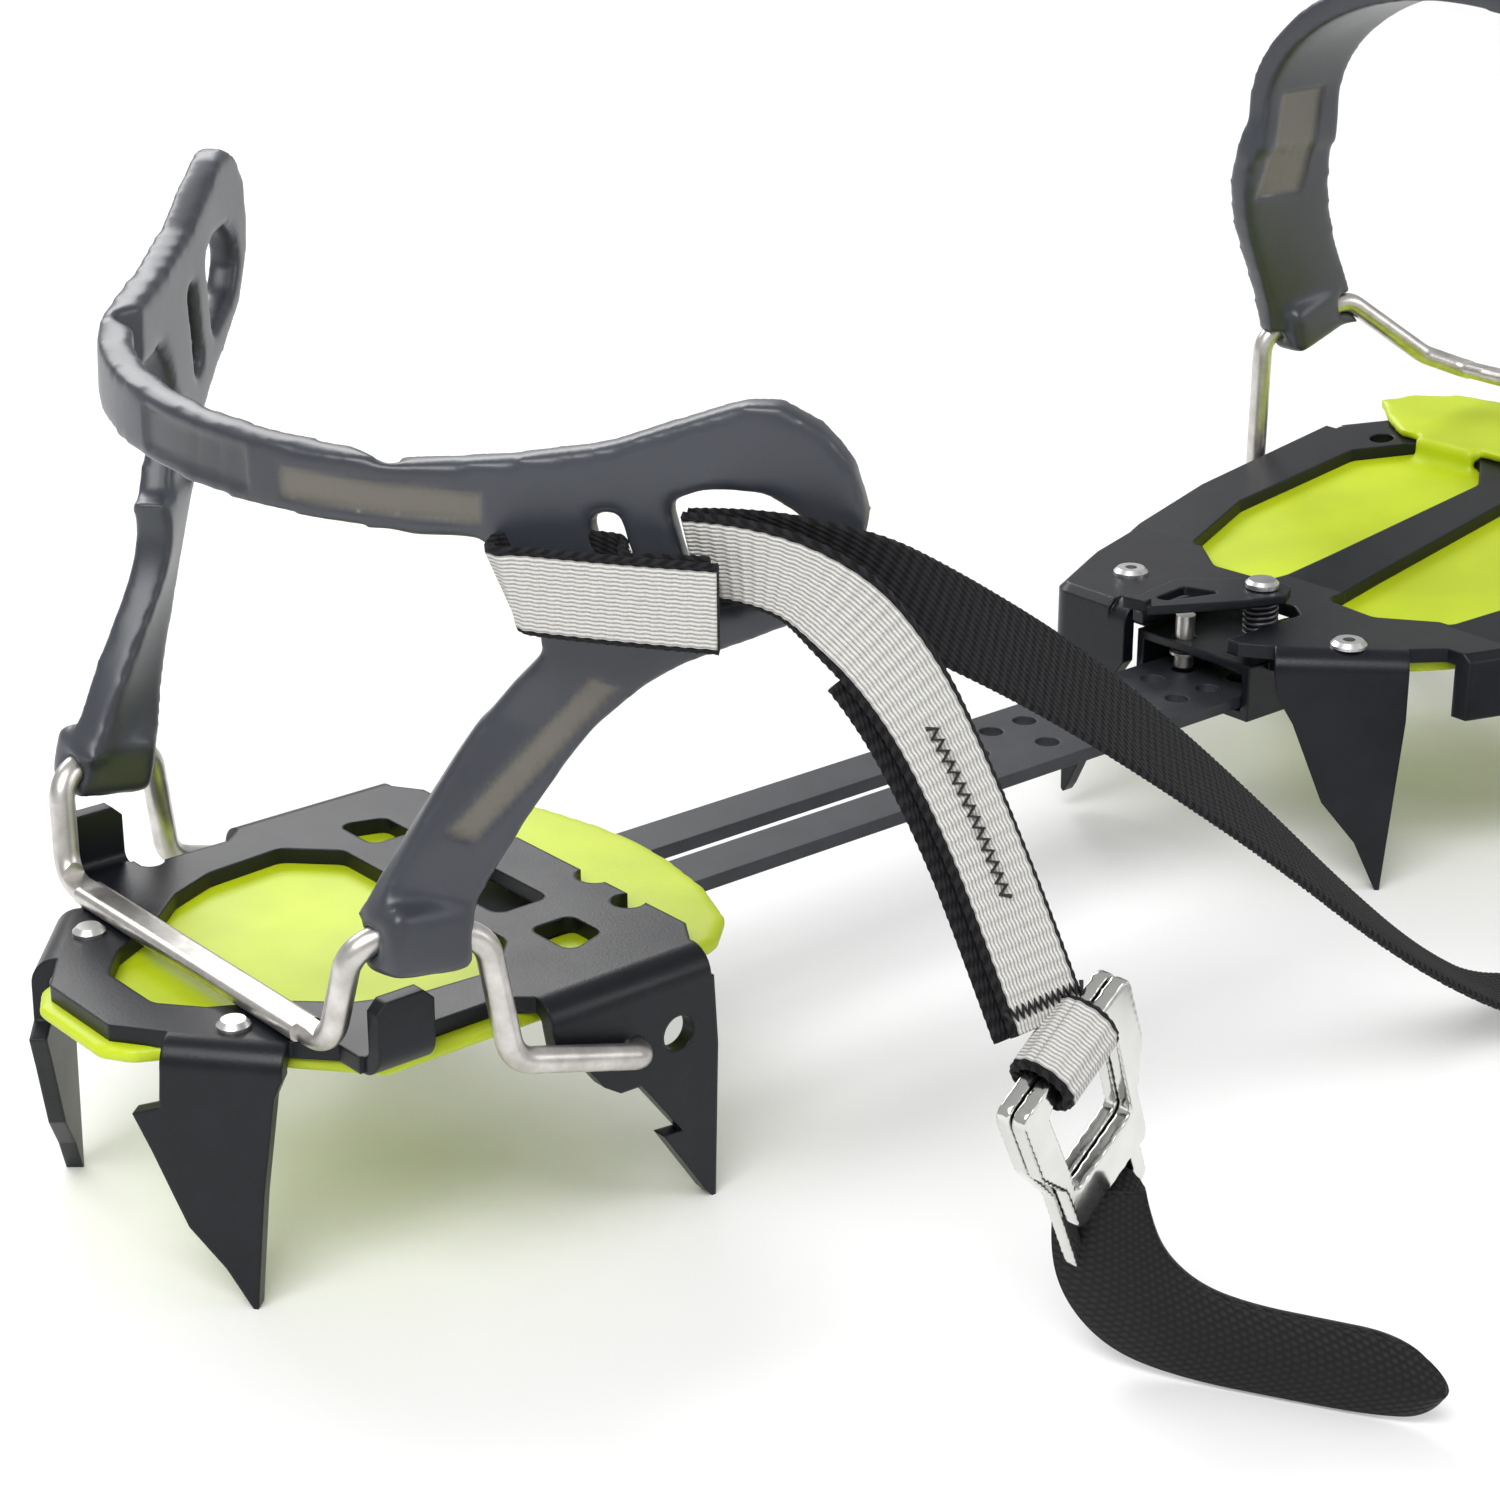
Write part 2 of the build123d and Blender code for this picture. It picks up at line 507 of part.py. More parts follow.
PIN_R = 1.75
PIN_LOW = BAR_TOP + 0.35
PIN_HIGH = 43.4
COLLAR_RISE = 2.75           # the collar stays above the bar when the pin drops into a hole
COLLAR_THICK = 0.5


def latch_pin():
    x, y = LATCH_HOLE
    shank = Pos(x, y, PIN_LOW) * extrude(Circle(PIN_R), PIN_HIGH - PIN_LOW)
    collar = Pos(x, y, PIN_LOW + COLLAR_RISE) * extrude(Circle(2.6), COLLAR_THICK)
    return chamfer((shank + collar).edges().group_by(Axis.Z)[0], 0.4)


def latch_spring():
    x, y = LATCH_HOLE
    return ring_stack(x, y, PIN_LOW + COLLAR_RISE + COLLAR_THICK + 0.22, 2.1, 0.17, 2, 0.4)


# Toe bail and harness ---------------------------------------------------------------
TOE_BAIL_Y = TOE_FACE + TOE_GAP + WIRE / 2
TOE_LUG_REAR = (64.0, -52.3, 73.5)
TOE_LUG_FRONT = (81.5, -46.0, 79.0)
TOE_CROSSBAR = (102.5, 64.0)


def toe_bail_wire():
    x, z = TOE_PIVOT
    leg = [
        (x, -44.5, z), (x, -TOE_BAIL_Y, z), TOE_LUG_REAR, TOE_LUG_FRONT, (97.5, -38.5, 66.5),
        (TOE_CROSSBAR[0], -32.0, TOE_CROSSBAR[1]),
    ]
    return bail(leg, *TOE_CROSSBAR, 26.0)


TOE_LEG_SECTIONS = [
    ((74.0, -49.0), 74.0, 14.0, 22.0), ((65.0, -48.2), 92.0, 6.0, 22.0), ((58.5, -45.8), 108.0, 4.0, 23.0),
    ((59.3, -44.2), 118.0, 0.0, 23.0),
]
TOE_ARCH = 44.0


def toe_harness():
    sections = []
    for (x, y), z, angle, width in TOE_LEG_SECTIONS:
        turned = (cos(radians(angle)), sin(radians(angle)), 0)
        local = Plane(origin=(x, y, z), x_dir=turned, z_dir=(0, 0, 1))
        sections.append(local * Rectangle(width, PLASTIC))
    leg = loft(sections)
    front = Vector(*TOE_LUG_FRONT)
    rear = Vector(*TOE_LUG_REAR)
    lug_plane = Plane(origin=(front + rear) * 0.5, x_dir=front - rear, z_dir=(0, -1, 0))
    lug = lug_plane * fillet(Box(14, 9.6, 8.6).edges(), 1.8)
    post = Pos(59.3, -TOE_ARCH, 117) * Box(22, PLASTIC, 8)
    side = leg + lug + post
    outer = TOE_ARCH + PLASTIC / 2
    inner = TOE_ARCH - PLASTIC / 2
    ring = (Ellipse(outer, 30) - Ellipse(inner, 25)) & Pos(0, 20) * Rectangle(120, 40)
    arch = Plane(origin=(48.3, 0, 121.0), x_dir=(0, 1, 0), z_dir=(1, 0, 0)) * extrude(ring, 22)
    slot = Pos(59.3, 0, 150) * Box(6, 15, 20)
    return mirrored(side) + arch - slot - toe_bail_wire()


# Strap, buckle and pull tab ---------------------------------------------------------
WRAP_PATH = [
    (33, -9.2), (24, -8.6), (10, -6.8), (5.2, -5.6), (4.9, -0.4), (7.6, 1.05), (19.1, 1.05), (21.2, -0.4),
    (22.0, -3.2), (22.5, -5.2), (25.2, -6.6), (31.5, -6.7),
]
BUCKLE_RUN = [
    (38.4, -67.0, 109.2), (40.4, -76.2, 110.4), (44.6, -85.8, 107.4), (51.0, -92.6, 96.5),
    (55.0, -99.4, 81.5), (57.0, -106.0, 67.5), (57.3, -111.2, 58.2),
]
LONG_RUN = [
    (42.5, -63.5, 108.0), (45.0, -74.0, 110.2), (50.5, -84.5, 108.2), (62.0, -88.5, 101.5),
    (82.0, -88.5, 88.5), (104.0, -88.0, 72.0), (127.0, -87.5, 53.5), (150.0, -86.5, 34.0),
    (172.0, -85.0, 17.5), (192.0, -83.5, 7.0), (215.0, -87.0, 4.5), (240.0, -98.0, 5.5),
    (257.0, -110.5, 6.2), (266.5, -121.5, 6.2),
]
COIL_CENTRE = (215.0, -165.0)
COIL_MIDDLE = 60.0
COIL_THICK = 11.0
BUCKLE_TOP = Vector(58.0, -115.0, 52.0)
BUCKLE_WIDE = Vector(0.855, 0.135, 0.497)
BUCKLE_DOWN = Vector(0.470, 0.190, -0.863)
RING = 2.0


def strap_wrap():
    """The stretch of webbing that is threaded round the harness's rear web."""
    plane = arm_plane()
    flat = Plane(origin=plane.from_local_coords(Vector(0, 98.8, 0)), x_dir=plane.x_dir, z_dir=(0, 0, 1))
    sign = 1.0 if flat.y_dir.dot(plane.z_dir) > 0 else -1.0
    path = Polyline(*[(s + 2.3, sign * a) for s, a in WRAP_PATH])
    strip = flat * trace(path, STRAP_THICK)
    lean = plane.x_dir * -0.385 + Vector(0, 0, 0.923)
    return extrude(strip, STRAP_WIDTH, dir=lean)


def corner_radii(points, label):
    """The largest even bend at each inner point, printed for checking."""
    corners = [Vector(*p) for p in points]
    radii = []
    for before, here, after in zip(corners, corners[1:], corners[2:]):
        turn = radians((here - before).get_angle(after - here))
        shorter = min((here - before).length, (after - here).length)
        radii.append(0.45 * shorter * cos(turn / 2) / sin(turn / 2))
    print(label, "bend radii:", " ".join(f"{r:.0f}" for r in radii))
    return radii


def strap_tube(points, label):
    path = FilletPolyline(*points, radius=corner_radii(points, label))
    tube = sweep(Plane(origin=path @ 0, z_dir=path % 0) * Circle(STRAP_TUBE / 2), path=path)
    expected = path.length * pi * STRAP_TUBE ** 2 / 4
    print(label, f"length {path.length:.0f} mm, volume ratio {tube.volume / expected:.3f}")
    return tube


def strap_coil():
    outer = COIL_MIDDLE + COIL_THICK / 2
    ring = Circle(outer) - Circle(outer - COIL_THICK)
    return Pos(*COIL_CENTRE, 0) * extrude(ring, STRAP_WIDTH + 0.4)


def buckle_plane():
    return Plane(origin=BUCKLE_TOP, x_dir=BUCKLE_WIDE, z_dir=BUCKLE_WIDE.cross(BUCKLE_DOWN * -1))


def buckle_plate(outline, windows, level):
    face = make_face(Polyline(*outline, close=True))
    face = fillet(face.vertices(), 2.0)
    for cut in windows:
        hole = make_face(Polyline(*cut, close=True))
        face -= fillet(hole.vertices(), 1.0)
    plate = buckle_plane() * Pos(0, 0, level) * extrude(face, RING)
    return plate


def buckle_ring_front():
    outline = [
        (-12.6, 3), (12.6, 3), (12.2, -10), (8.8, -17.5), (8.4, -27.5),
        (-8.4, -27.5), (-8.8, -17.5), (-12.2, -10),
    ]
    hole = [(-7.6, -1.2), (7.6, -1.2), (6.6, -20.0), (-6.6, -20.0)]
    return buckle_plate(outline, [hole], 0.15)


def buckle_ring_rear():
    outline = [
        (-12.6, 3), (12.6, 3), (12.2, -10), (9.0, -20), (8.8, -39),
        (-8.8, -39), (-9.0, -20), (-12.2, -10),
    ]
    hole = [(-7.6, -1.2), (7.6, -1.2), (6.6, -20.0), (-6.6, -20.0)]
    tab_slot = [(-6.3, -30.6), (6.3, -30.6), (6.3, -35.4), (-6.3, -35.4)]
    return buckle_plate(outline, [hole, tab_slot], -RING - 0.15)


LOOP_RISE = 0.9              # the middle of the rings' top bars, above the buckle's origin
LOOP_INNER = 3.15


def strap_loop():
    """The sewn end of the webbing, turned round both rings' top bars; the buckle swings in it."""
    middle = buckle_plane().from_local_coords(Vector(-STRAP_WIDTH / 2, LOOP_RISE, 0))
    ring = Circle(LOOP_INNER + STRAP_THICK) - Circle(LOOP_INNER)
    return extrude(Plane(origin=middle, z_dir=buckle_plane().x_dir) * ring, STRAP_WIDTH)


TAB_OUTLINE = [
    (-6.5, 17), (-3.5, 9), (2.5, 3.5), (12, 0.6), (28, 0.5), (41, 1.6), (46, 5.2), (45.2, 9.6), (40, 12.4),
    (30, 12.6), (20, 13.2), (13.5, 15.2), (9, 19.5), (6.6, 25), (-3.5, 23),
]


def pull_tab():
    """Curved strip with a loop round the bottom bar of the rear buckle ring."""
    plane = Plane(origin=(71.0, -109.6, 0), x_dir=(0.5, -0.866, 0), z_dir=(-0.866, -0.5, 0))
    face = fillet(make_face(Polyline(*TAB_OUTLINE, close=True)).vertices(), 1.2)
    strip = plane * Pos(0, 0, -0.8) * extrude(face, 1.6)
    ring = buckle_plane() * Pos(0, -29.2, -1.15)
    bar = buckle_plane() * Pos(0, -37.2, -1.15)
    loop = bar * Box(11.5, 6.8, 5.0) - bar * Box(12, 4.0, 2.4)
    return strip - ring * Box(18, 20, 2.4) + loop


# Assembly ---------------------------------------------------------------------------
def heel_nodes():
    return {
        "heel_frame": [heel_frame()],
        "heel_antiball_plate": [heel_antiball_plate()],
        "heel_rivets": heel_rivets(),
        "heel_bar_stirrup": heel_bar_stirrup().solids(),
        "bar_hinge_pin": [bar_hinge_pin()],
        "link_bar": [link_bar()],
        "heel_bail_wire": [heel_bail_wire()],
        "heel_harness": [heel_harness()],
        "strap_wrap": [strap_wrap()],
        "strap_buckle_run": [strap_tube(BUCKLE_RUN, "buckle run")],
        "strap_long_run": [strap_tube(LONG_RUN, "long run")],
        "strap_coil": [strap_coil()],
        "strap_loop": [strap_loop()],
        "buckle_ring_front": [buckle_ring_front()],
        "buckle_ring_rear": [buckle_ring_rear()],
        "pull_tab": [pull_tab()],
    }


def toe_nodes():
    return {
        "front_frame": [front_frame()],
        "front_antiball_plate": [front_antiball_plate()],
        "front_rivets": front_rivets(),
        "bar_guide": [bar_guide()],
        "latch_lever": [latch_lever()],
        "latch_pivot": [latch_pivot()],
        "lever_spring": lever_spring(),
        "latch_pin": [latch_pin()],
        "latch_spring": latch_spring(),
        "toe_bail_wire": [toe_bail_wire()],
        "toe_harness": [toe_harness()],
    }


def main():
    os.makedirs("parts", exist_ok=True)
    for nodes, shift in ((heel_nodes(), HEEL_X), (toe_nodes(), TOE_X)):
        for name, shapes in nodes.items():
            solids = [Pos(shift, MIDDLE_Y, 0) * solid for shape in shapes for solid in shape.solids()]
            export_step(Compound(children=solids), f"parts/{name}.step")


if __name__ == "__main__":
    main()
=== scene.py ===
"""Looks of the strap-on crampon: coated steel, flexible sheets, smoky harness, wire and webbing."""

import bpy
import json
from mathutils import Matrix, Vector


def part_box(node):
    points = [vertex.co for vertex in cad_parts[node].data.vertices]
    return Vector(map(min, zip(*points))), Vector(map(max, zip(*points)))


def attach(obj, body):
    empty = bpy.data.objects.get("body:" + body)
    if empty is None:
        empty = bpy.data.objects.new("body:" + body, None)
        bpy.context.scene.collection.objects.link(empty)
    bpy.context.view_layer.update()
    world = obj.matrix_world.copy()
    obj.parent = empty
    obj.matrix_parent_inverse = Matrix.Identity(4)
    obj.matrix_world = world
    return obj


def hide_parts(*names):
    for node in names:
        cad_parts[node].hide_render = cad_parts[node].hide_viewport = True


bl_info = {
    "name": "Strap Crampon Looks",
    "version": (1, 0, 0),
    "blender": (4, 5, 0),
    "location": "View3D > Sidebar > Crampon",
    "description": "Builds the visible surfaces and the stage around the packed crampon",
    "category": "Object",
}

import json
import math

import bmesh
import bpy
from bpy.props import FloatProperty, FloatVectorProperty, PointerProperty
from mathutils import Vector

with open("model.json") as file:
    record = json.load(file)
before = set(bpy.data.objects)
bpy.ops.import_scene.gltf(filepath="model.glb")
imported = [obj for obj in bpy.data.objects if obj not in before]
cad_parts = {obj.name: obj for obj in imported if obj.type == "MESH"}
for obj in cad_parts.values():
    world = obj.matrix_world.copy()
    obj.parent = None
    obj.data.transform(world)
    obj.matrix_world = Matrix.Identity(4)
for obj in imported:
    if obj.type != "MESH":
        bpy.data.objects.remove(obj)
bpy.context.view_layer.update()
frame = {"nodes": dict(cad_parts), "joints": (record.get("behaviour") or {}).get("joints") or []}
NODES = frame["nodes"]
MM = 0.001
FULL_TURN = 2 * math.pi


# Places on the frame ----------------------------------------------------------------
HEEL_RIVET_SETBACK = 3.4
RIVET_LOW, RIVET_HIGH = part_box("heel_rivets")
RIVET_MIDDLE = (RIVET_LOW + RIVET_HIGH) / 2
HEEL_ORIGIN = Vector((RIVET_MIDDLE.x + HEEL_RIVET_SETBACK * MM, RIVET_MIDDLE.y, 0))
TOE_RIVET_LOW, TOE_RIVET_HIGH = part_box("front_rivets")
TOE_ORIGIN = Vector(((TOE_RIVET_LOW.x + TOE_RIVET_HIGH.x) / 2, RIVET_MIDDLE.y, 0))


def heel(x, y, z):
    """A place in the heel section's own millimetres."""
    return HEEL_ORIGIN + Vector((x, y, z)) * MM


# Routes of the webbing in the heel section's millimetres, from where it leaves the harness,
# each with the direction of the webbing's width at every point
BUCKLE_RUN = [
    (38.4, -67.0, 109.2), (40.4, -76.2, 110.4), (44.6, -85.8, 107.4), (51.0, -92.6, 96.5),
    (55.0, -99.4, 81.5), (57.0, -106.0, 67.5), (57.4, -112.5, 56.0),
]
BUCKLE_RUN_WIDTH = [
    (-0.25, 0.29, 0.92), (-0.2, 0.25, 0.94), (-0.05, 0.2, 0.97), (0.45, 0.2, 0.87),
    (0.72, 0.2, 0.66), (0.83, 0.15, 0.52), (0.855, 0.135, 0.497),
]
LONG_RUN = [
    (42.5, -63.5, 108.0), (45.0, -74.0, 110.2), (50.5, -84.5, 108.2), (62.0, -88.5, 101.5),
    (82.0, -88.5, 88.5), (104.0, -88.0, 72.0), (127.0, -87.5, 53.5), (150.0, -86.5, 34.0),
    (172.0, -85.0, 17.5), (192.0, -83.5, 5.5), (215.0, -87.0, 2.4), (240.0, -98.0, 4.6),
    (257.0, -110.5, 6.2), (266.5, -121.5, 6.2),
]
LONG_RUN_WIDTH = [
    (-0.25, 0.29, 0.92), (-0.25, 0.2, 0.92), (-0.1, 0.2, 0.95), (0.15, 0.25, 0.95),
    (0.3, 0.35, 0.85), (0.35, 0.55, 0.7), (0.35, 0.75, 0.5), (0.3, 0.85, 0.35),
    (0.2, 0.95, 0.2), (0.15, 0.97, 0.15), (0.3, 0.9, 0.3), (0.3, 0.6, 0.8),
    (0.0, 0.1, 1.0), (0.0, 0.0, 1.0),
]
COIL_CENTRE = (215.0, -165.0)
COIL_OUTER = 64.5
COIL_INNER = 55.5
COIL_TURNS = 2.0
COIL_START = 40.2
COIL_STEPS = 16
COIL_LEVEL = 6.2


class CramponSizes(bpy.types.PropertyGroup):
    """Sizes that a maker would change."""

    strap_width: FloatProperty(
        name="Strap Width", description="Width of the webbing", default=0.012, unit="LENGTH")
    strap_half: FloatProperty(
        name="Strap Half Thickness", description="Half the webbing's thickness", default=0.0007,
        unit="LENGTH")
    rib_pitch: FloatProperty(
        name="Rib Pitch", description="Length of one woven rib", default=0.0019, unit="LENGTH")
    rib_height: FloatProperty(
        name="Rib Height", description="How far a rib stands out", default=0.00013, unit="LENGTH")
    thread_radius: FloatProperty(
        name="Thread Radius", description="Radius of the sewing thread", default=0.0003, unit="LENGTH")
    harness_grain: FloatProperty(
        name="Harness Grain", description="Size of the harness mesh's faces", default=0.0008, unit="LENGTH")
    buckle_grain: FloatProperty(
        name="Buckle Grain", description="Size of the buckle mesh's faces", default=0.0003, unit="LENGTH")
    sheet_grain: FloatProperty(
        name="Sheet Grain", description="Size of the flexible sheets' faces", default=0.0007, unit="LENGTH")


class CramponColours(bpy.types.PropertyGroup):
    """Colours that a maker would change."""

    coat: FloatVectorProperty(
        name="Coated Steel", description="Colour of the coated frames", subtype="COLOR",
        default=(0.005, 0.006, 0.009))
    bar: FloatVectorProperty(
        name="Bar Grey", description="Colour of the link bar", subtype="COLOR",
        default=(0.028, 0.030, 0.036))
    lime: FloatVectorProperty(
        name="Lime Sheet", description="Colour of the flexible sheets", subtype="COLOR",
        default=(0.50, 0.62, 0.006))
    smoke: FloatVectorProperty(
        name="Smoky Polymer", description="Colour of the harness", subtype="COLOR",
        default=(0.036, 0.040, 0.051))
    thin: FloatVectorProperty(
        name="Thin Polymer", description="Colour where the harness wall is thin", subtype="COLOR",
        default=(0.13, 0.12, 0.10))
    light_yarn: FloatVectorProperty(
        name="Light Yarn", description="Colour of the webbing's face", subtype="COLOR",
        default=(0.62, 0.61, 0.585))
    dark_yarn: FloatVectorProperty(
        name="Dark Yarn", description="Colour of the webbing's back and edges", subtype="COLOR",
        default=(0.006, 0.006, 0.007))


# Mesh helpers -------------------------------------------------------------------------
def link_piece(name, mesh):
    piece = bpy.data.objects.new(name, mesh)
    bpy.context.scene.collection.objects.link(piece)
    return piece


def evaluated_mesh(piece, name):
    """The piece's mesh with its modifiers applied."""
    bpy.context.view_layer.update()
    graph = bpy.context.evaluated_depsgraph_get()
    mesh = bpy.data.meshes.new_from_object(piece.evaluated_get(graph))
    mesh.name = name
    return mesh


def apply_modifiers(piece):
    mesh = evaluated_mesh(piece, piece.name)
    piece.modifiers.clear()
    piece.data = mesh
    return piece


def nurbs_samples(points, resolution=24):
    """Points on the smooth NURBS line whose control points are given."""
    curve = bpy.data.curves.new("route", "CURVE")
    curve.dimensions = "3D"
    curve.resolution_u = resolution
    spline = curve.splines.new("NURBS")
    spline.points.add(len(points) - 1)
    for control, place in zip(spline.points, points):
        control.co = (*place, 1.0)
    spline.order_u = 3
    spline.use_endpoint_u = True
    holder = link_piece("route", curve)
    mesh = evaluated_mesh(holder, "route")
    samples = [vertex.co.copy() for vertex in mesh.vertices]
    bpy.data.objects.remove(holder)
    bpy.data.curves.remove(curve)
    bpy.data.meshes.remove(mesh)
    return samples


def even_stations(line, widths, step):
    """Evenly spaced (place, width direction) pairs along a sampled line, and its length."""
    lengths = [0.0]
    for here, after in zip(line, line[1:]):
        lengths.append(lengths[-1] + (after - here).length)
    count = max(2, round(lengths[-1] / step))
    stations = []
    segment = 0
    for i in range(count + 1):
        target = lengths[-1] * i / count
        while segment < len(line) - 2 and lengths[segment + 1] < target:
            segment += 1
        span = max(lengths[segment + 1] - lengths[segment], 1e-9)
        share = min(max((target - lengths[segment]) / span, 0.0), 1.0)
        stations.append((line[segment].lerp(line[segment + 1], share),
                         widths[segment].lerp(widths[segment + 1], share)))
    return stations, lengths[-1]


def softened_copy(node, name, grain, rounds):
    """A copy of a CAD solid with rounded edges, as a moulded or tumbled piece has."""
    piece = link_piece(name, NODES[node].data.copy())
    shape = bmesh.new()
    shape.from_mesh(piece.data)
    bmesh.ops.remove_doubles(shape, verts=shape.verts, dist=1e-6)
    shape.to_mesh(piece.data)
    shape.free()
    remesh = piece.modifiers.new("even faces", "REMESH")
    remesh.mode = "VOXEL"
    remesh.voxel_size = grain
    smooth = piece.modifiers.new("rounding", "SMOOTH")
    smooth.factor = 0.5
    smooth.iterations = rounds
    apply_modifiers(piece)
    piece.data.materials.clear()
    piece.data.polygons.foreach_set("use_smooth", [True] * len(piece.data.polygons))
    return piece


# Material helpers ---------------------------------------------------------------------
MIX_SHARE = 0
MIX_FIRST_COLOUR, MIX_SECOND_COLOUR = 6, 7
MIX_COLOUR_RESULT = 2


class Finish:
    """A node material under construction."""

    def __init__(self, name):
        self.material = bpy.data.materials.new(name)
        self.material.use_nodes = True
        self.nodes = self.material.node_tree.nodes
        self.links = self.material.node_tree.links
        self.shader = self.nodes["Principled BSDF"]
        self.place = self.nodes.new("ShaderNodeTexCoord")

    def node(self, kind, **values):
        made = self.nodes.new(kind)
        for key, value in values.items():
            if key in made.inputs:
                made.inputs[key].default_value = value
            else:
                setattr(made, key, value)
        return made

    def join(self, source, target):
        self.links.new(source, target)

    def set(self, **values):
        for key, value in values.items():
            self.shader.inputs[key.replace("_", " ")].default_value = value

    def noise(self, scale, detail=3.0, roughness=0.55, source="Object"):
        texture = self.node("ShaderNodeTexNoise", Scale=scale, Detail=detail, Roughness=roughness)
        self.join(self.place.outputs[source], texture.inputs["Vector"])
        return texture.outputs["Fac"]

    def ramp(self, value, stops):
        ramp = self.nodes.new("ShaderNodeValToRGB")
        elements = ramp.color_ramp.elements
        while len(elements) < len(stops):
            elements.new(0.5)
        for element, (position, colour) in zip(elements, stops):
            element.position = position
            element.color = (*colour, 1.0)
        self.join(value, ramp.inputs["Fac"])
        return ramp.outputs["Color"]

    def span(self, value, low, high):
        """Maps 0..1 to low..high."""
        mapped = self.node("ShaderNodeMapRange")
        mapped.inputs["To Min"].default_value = low
        mapped.inputs["To Max"].default_value = high
        self.join(value, mapped.inputs["Value"])
        return mapped.outputs["Result"]

    def maths(self, operation, first, second):
        made = self.nodes.new("ShaderNodeMath")
        made.operation = operation
        for socket, value in zip(made.inputs, (first, second)):
            if isinstance(value, (int, float)):
                socket.default_value = value
            else:
                self.join(value, socket)
        return made.outputs["Value"]

    def wave(self, value, rate):
        """The sine of a value times a rate."""
        return self.maths("SINE", self.maths("MULTIPLY", value, rate), 0.0)

    def blend(self, share, first, second):
        mixed = self.nodes.new("ShaderNodeMix")
        mixed.data_type = "RGBA"
        for index, value in ((MIX_FIRST_COLOUR, first), (MIX_SECOND_COLOUR, second)):
            if isinstance(value, tuple):
                mixed.inputs[index].default_value = (*value, 1.0)
            else:
                self.join(value, mixed.inputs[index])
        self.join(share, mixed.inputs[MIX_SHARE])
        return mixed.outputs[MIX_COLOUR_RESULT]

    def bump(self, height, strength, distance, edge=0.0):
        bumped = self.node("ShaderNodeBump", Strength=strength, Distance=distance)
        self.join(height, bumped.inputs["Height"])
        if edge:
            rounded = self.node("ShaderNodeBevel", samples=6, Radius=edge)
            self.join(rounded.outputs["Normal"], bumped.inputs["Normal"])
        self.join(bumped.outputs["Normal"], self.shader.inputs["Normal"])


def tones(colour, low, high):
    """Darker and lighter versions of a colour."""
    return tuple(c * low for c in colour), tuple(min(c * high, 1.0) for c in colour)


def coated_steel(colours):
    finish = Finish("satin black coating")
    mottle = finish.noise(140.0)
    dark, light = tones(colours.coat, 0.75, 1.35)
    finish.join(finish.ramp(mottle, [(0.3, dark), (0.7, light)]), finish.shader.inputs["Base Color"])
    finish.join(finish.span(finish.noise(60.0), 0.26, 0.4), finish.shader.inputs["Roughness"])
    finish.set(Metallic=0.0, Specular_IOR_Level=0.3)
    finish.bump(finish.noise(2400.0, 2.0), 0.12, 0.0002, 0.0006)
    return finish.material


def bar_steel(colours):
    finish = Finish("dark grey coating")
    dark, light = tones(colours.bar, 0.8, 1.25)
    finish.join(finish.ramp(finish.noise(180.0), [(0.3, dark), (0.7, light)]),
                finish.shader.inputs["Base Color"])
    finish.join(finish.span(finish.noise(90.0), 0.38, 0.55), finish.shader.inputs["Roughness"])
    finish.set(Metallic=0.25)
    finish.bump(finish.noise(2600.0, 2.0), 0.15, 0.0002, 0.0004)
    return finish.material


def lime_sheet(colours):
    finish = Finish("lime flexible sheet")
    dark, light = tones(colours.lime, 0.82, 1.12)
    finish.join(finish.ramp(finish.noise(28.0), [(0.3, dark), (0.7, light)]),
                finish.shader.inputs["Base Color"])
    finish.join(finish.span(finish.noise(70.0), 0.36, 0.5), finish.shader.inputs["Roughness"])
    finish.set(Subsurface_Weight=0.15, Subsurface_Scale=0.003)
    finish.shader.inputs["Subsurface Radius"].default_value = (1.0, 1.0, 0.2)
    finish.bump(finish.noise(900.0, 2.0), 0.08, 0.0003)
    return finish.material


def smoky_polymer(colours):
    finish = Finish("smoky harness polymer")
    panel = finish.node("ShaderNodeAttribute", attribute_name="thin_wall")
    clouds = finish.noise(38.0, 2.0)
    dark, light = tones(colours.smoke, 0.85, 1.3)
    body = finish.ramp(clouds, [(0.3, dark), (0.75, light)])
    colour = finish.blend(panel.outputs["Fac"], body, tuple(colours.thin))
    finish.join(colour, finish.shader.inputs["Base Color"])
    finish.join(finish.span(finish.noise(80.0), 0.3, 0.42), finish.shader.inputs["Roughness"])
    finish.set(Subsurface_Weight=0.25, Subsurface_Scale=0.002, Coat_Weight=0.15, Coat_Roughness=0.35)
    finish.bump(finish.noise(1600.0, 2.0), 0.1, 0.0002)
    return finish.material


def stainless_wire():
    finish = Finish("satin stainless wire")
    tint = finish.ramp(finish.noise(300.0), [(0.3, (0.50, 0.48, 0.45)), (0.7, (0.72, 0.70, 0.67))])
    finish.join(tint, finish.shader.inputs["Base Color"])
    finish.join(finish.span(finish.noise(500.0), 0.28, 0.42), finish.shader.inputs["Roughness"])
    finish.set(Metallic=1.0)
    finish.bump(finish.noise(3000.0, 2.0), 0.1, 0.0001)
    return finish.material


def bright_metal(name, low, high, shade):
    finish = Finish(name)
    tint = finish.ramp(finish.noise(200.0), [(0.3, tones(shade, 0.92, 1)[0]), (0.7, shade)])
    finish.join(tint, finish.shader.inputs["Base Color"])
    finish.join(finish.span(finish.noise(150.0), low, high), finish.shader.inputs["Roughness"])
    finish.set(Metallic=1.0)
    finish.bump(finish.noise(700.0, 2.0), 0.06, 0.0001)
    return finish.material


FACE_COLUMNS = 11
BACK_COLUMNS = 9
TAB_GRID_PITCH = 0.0011


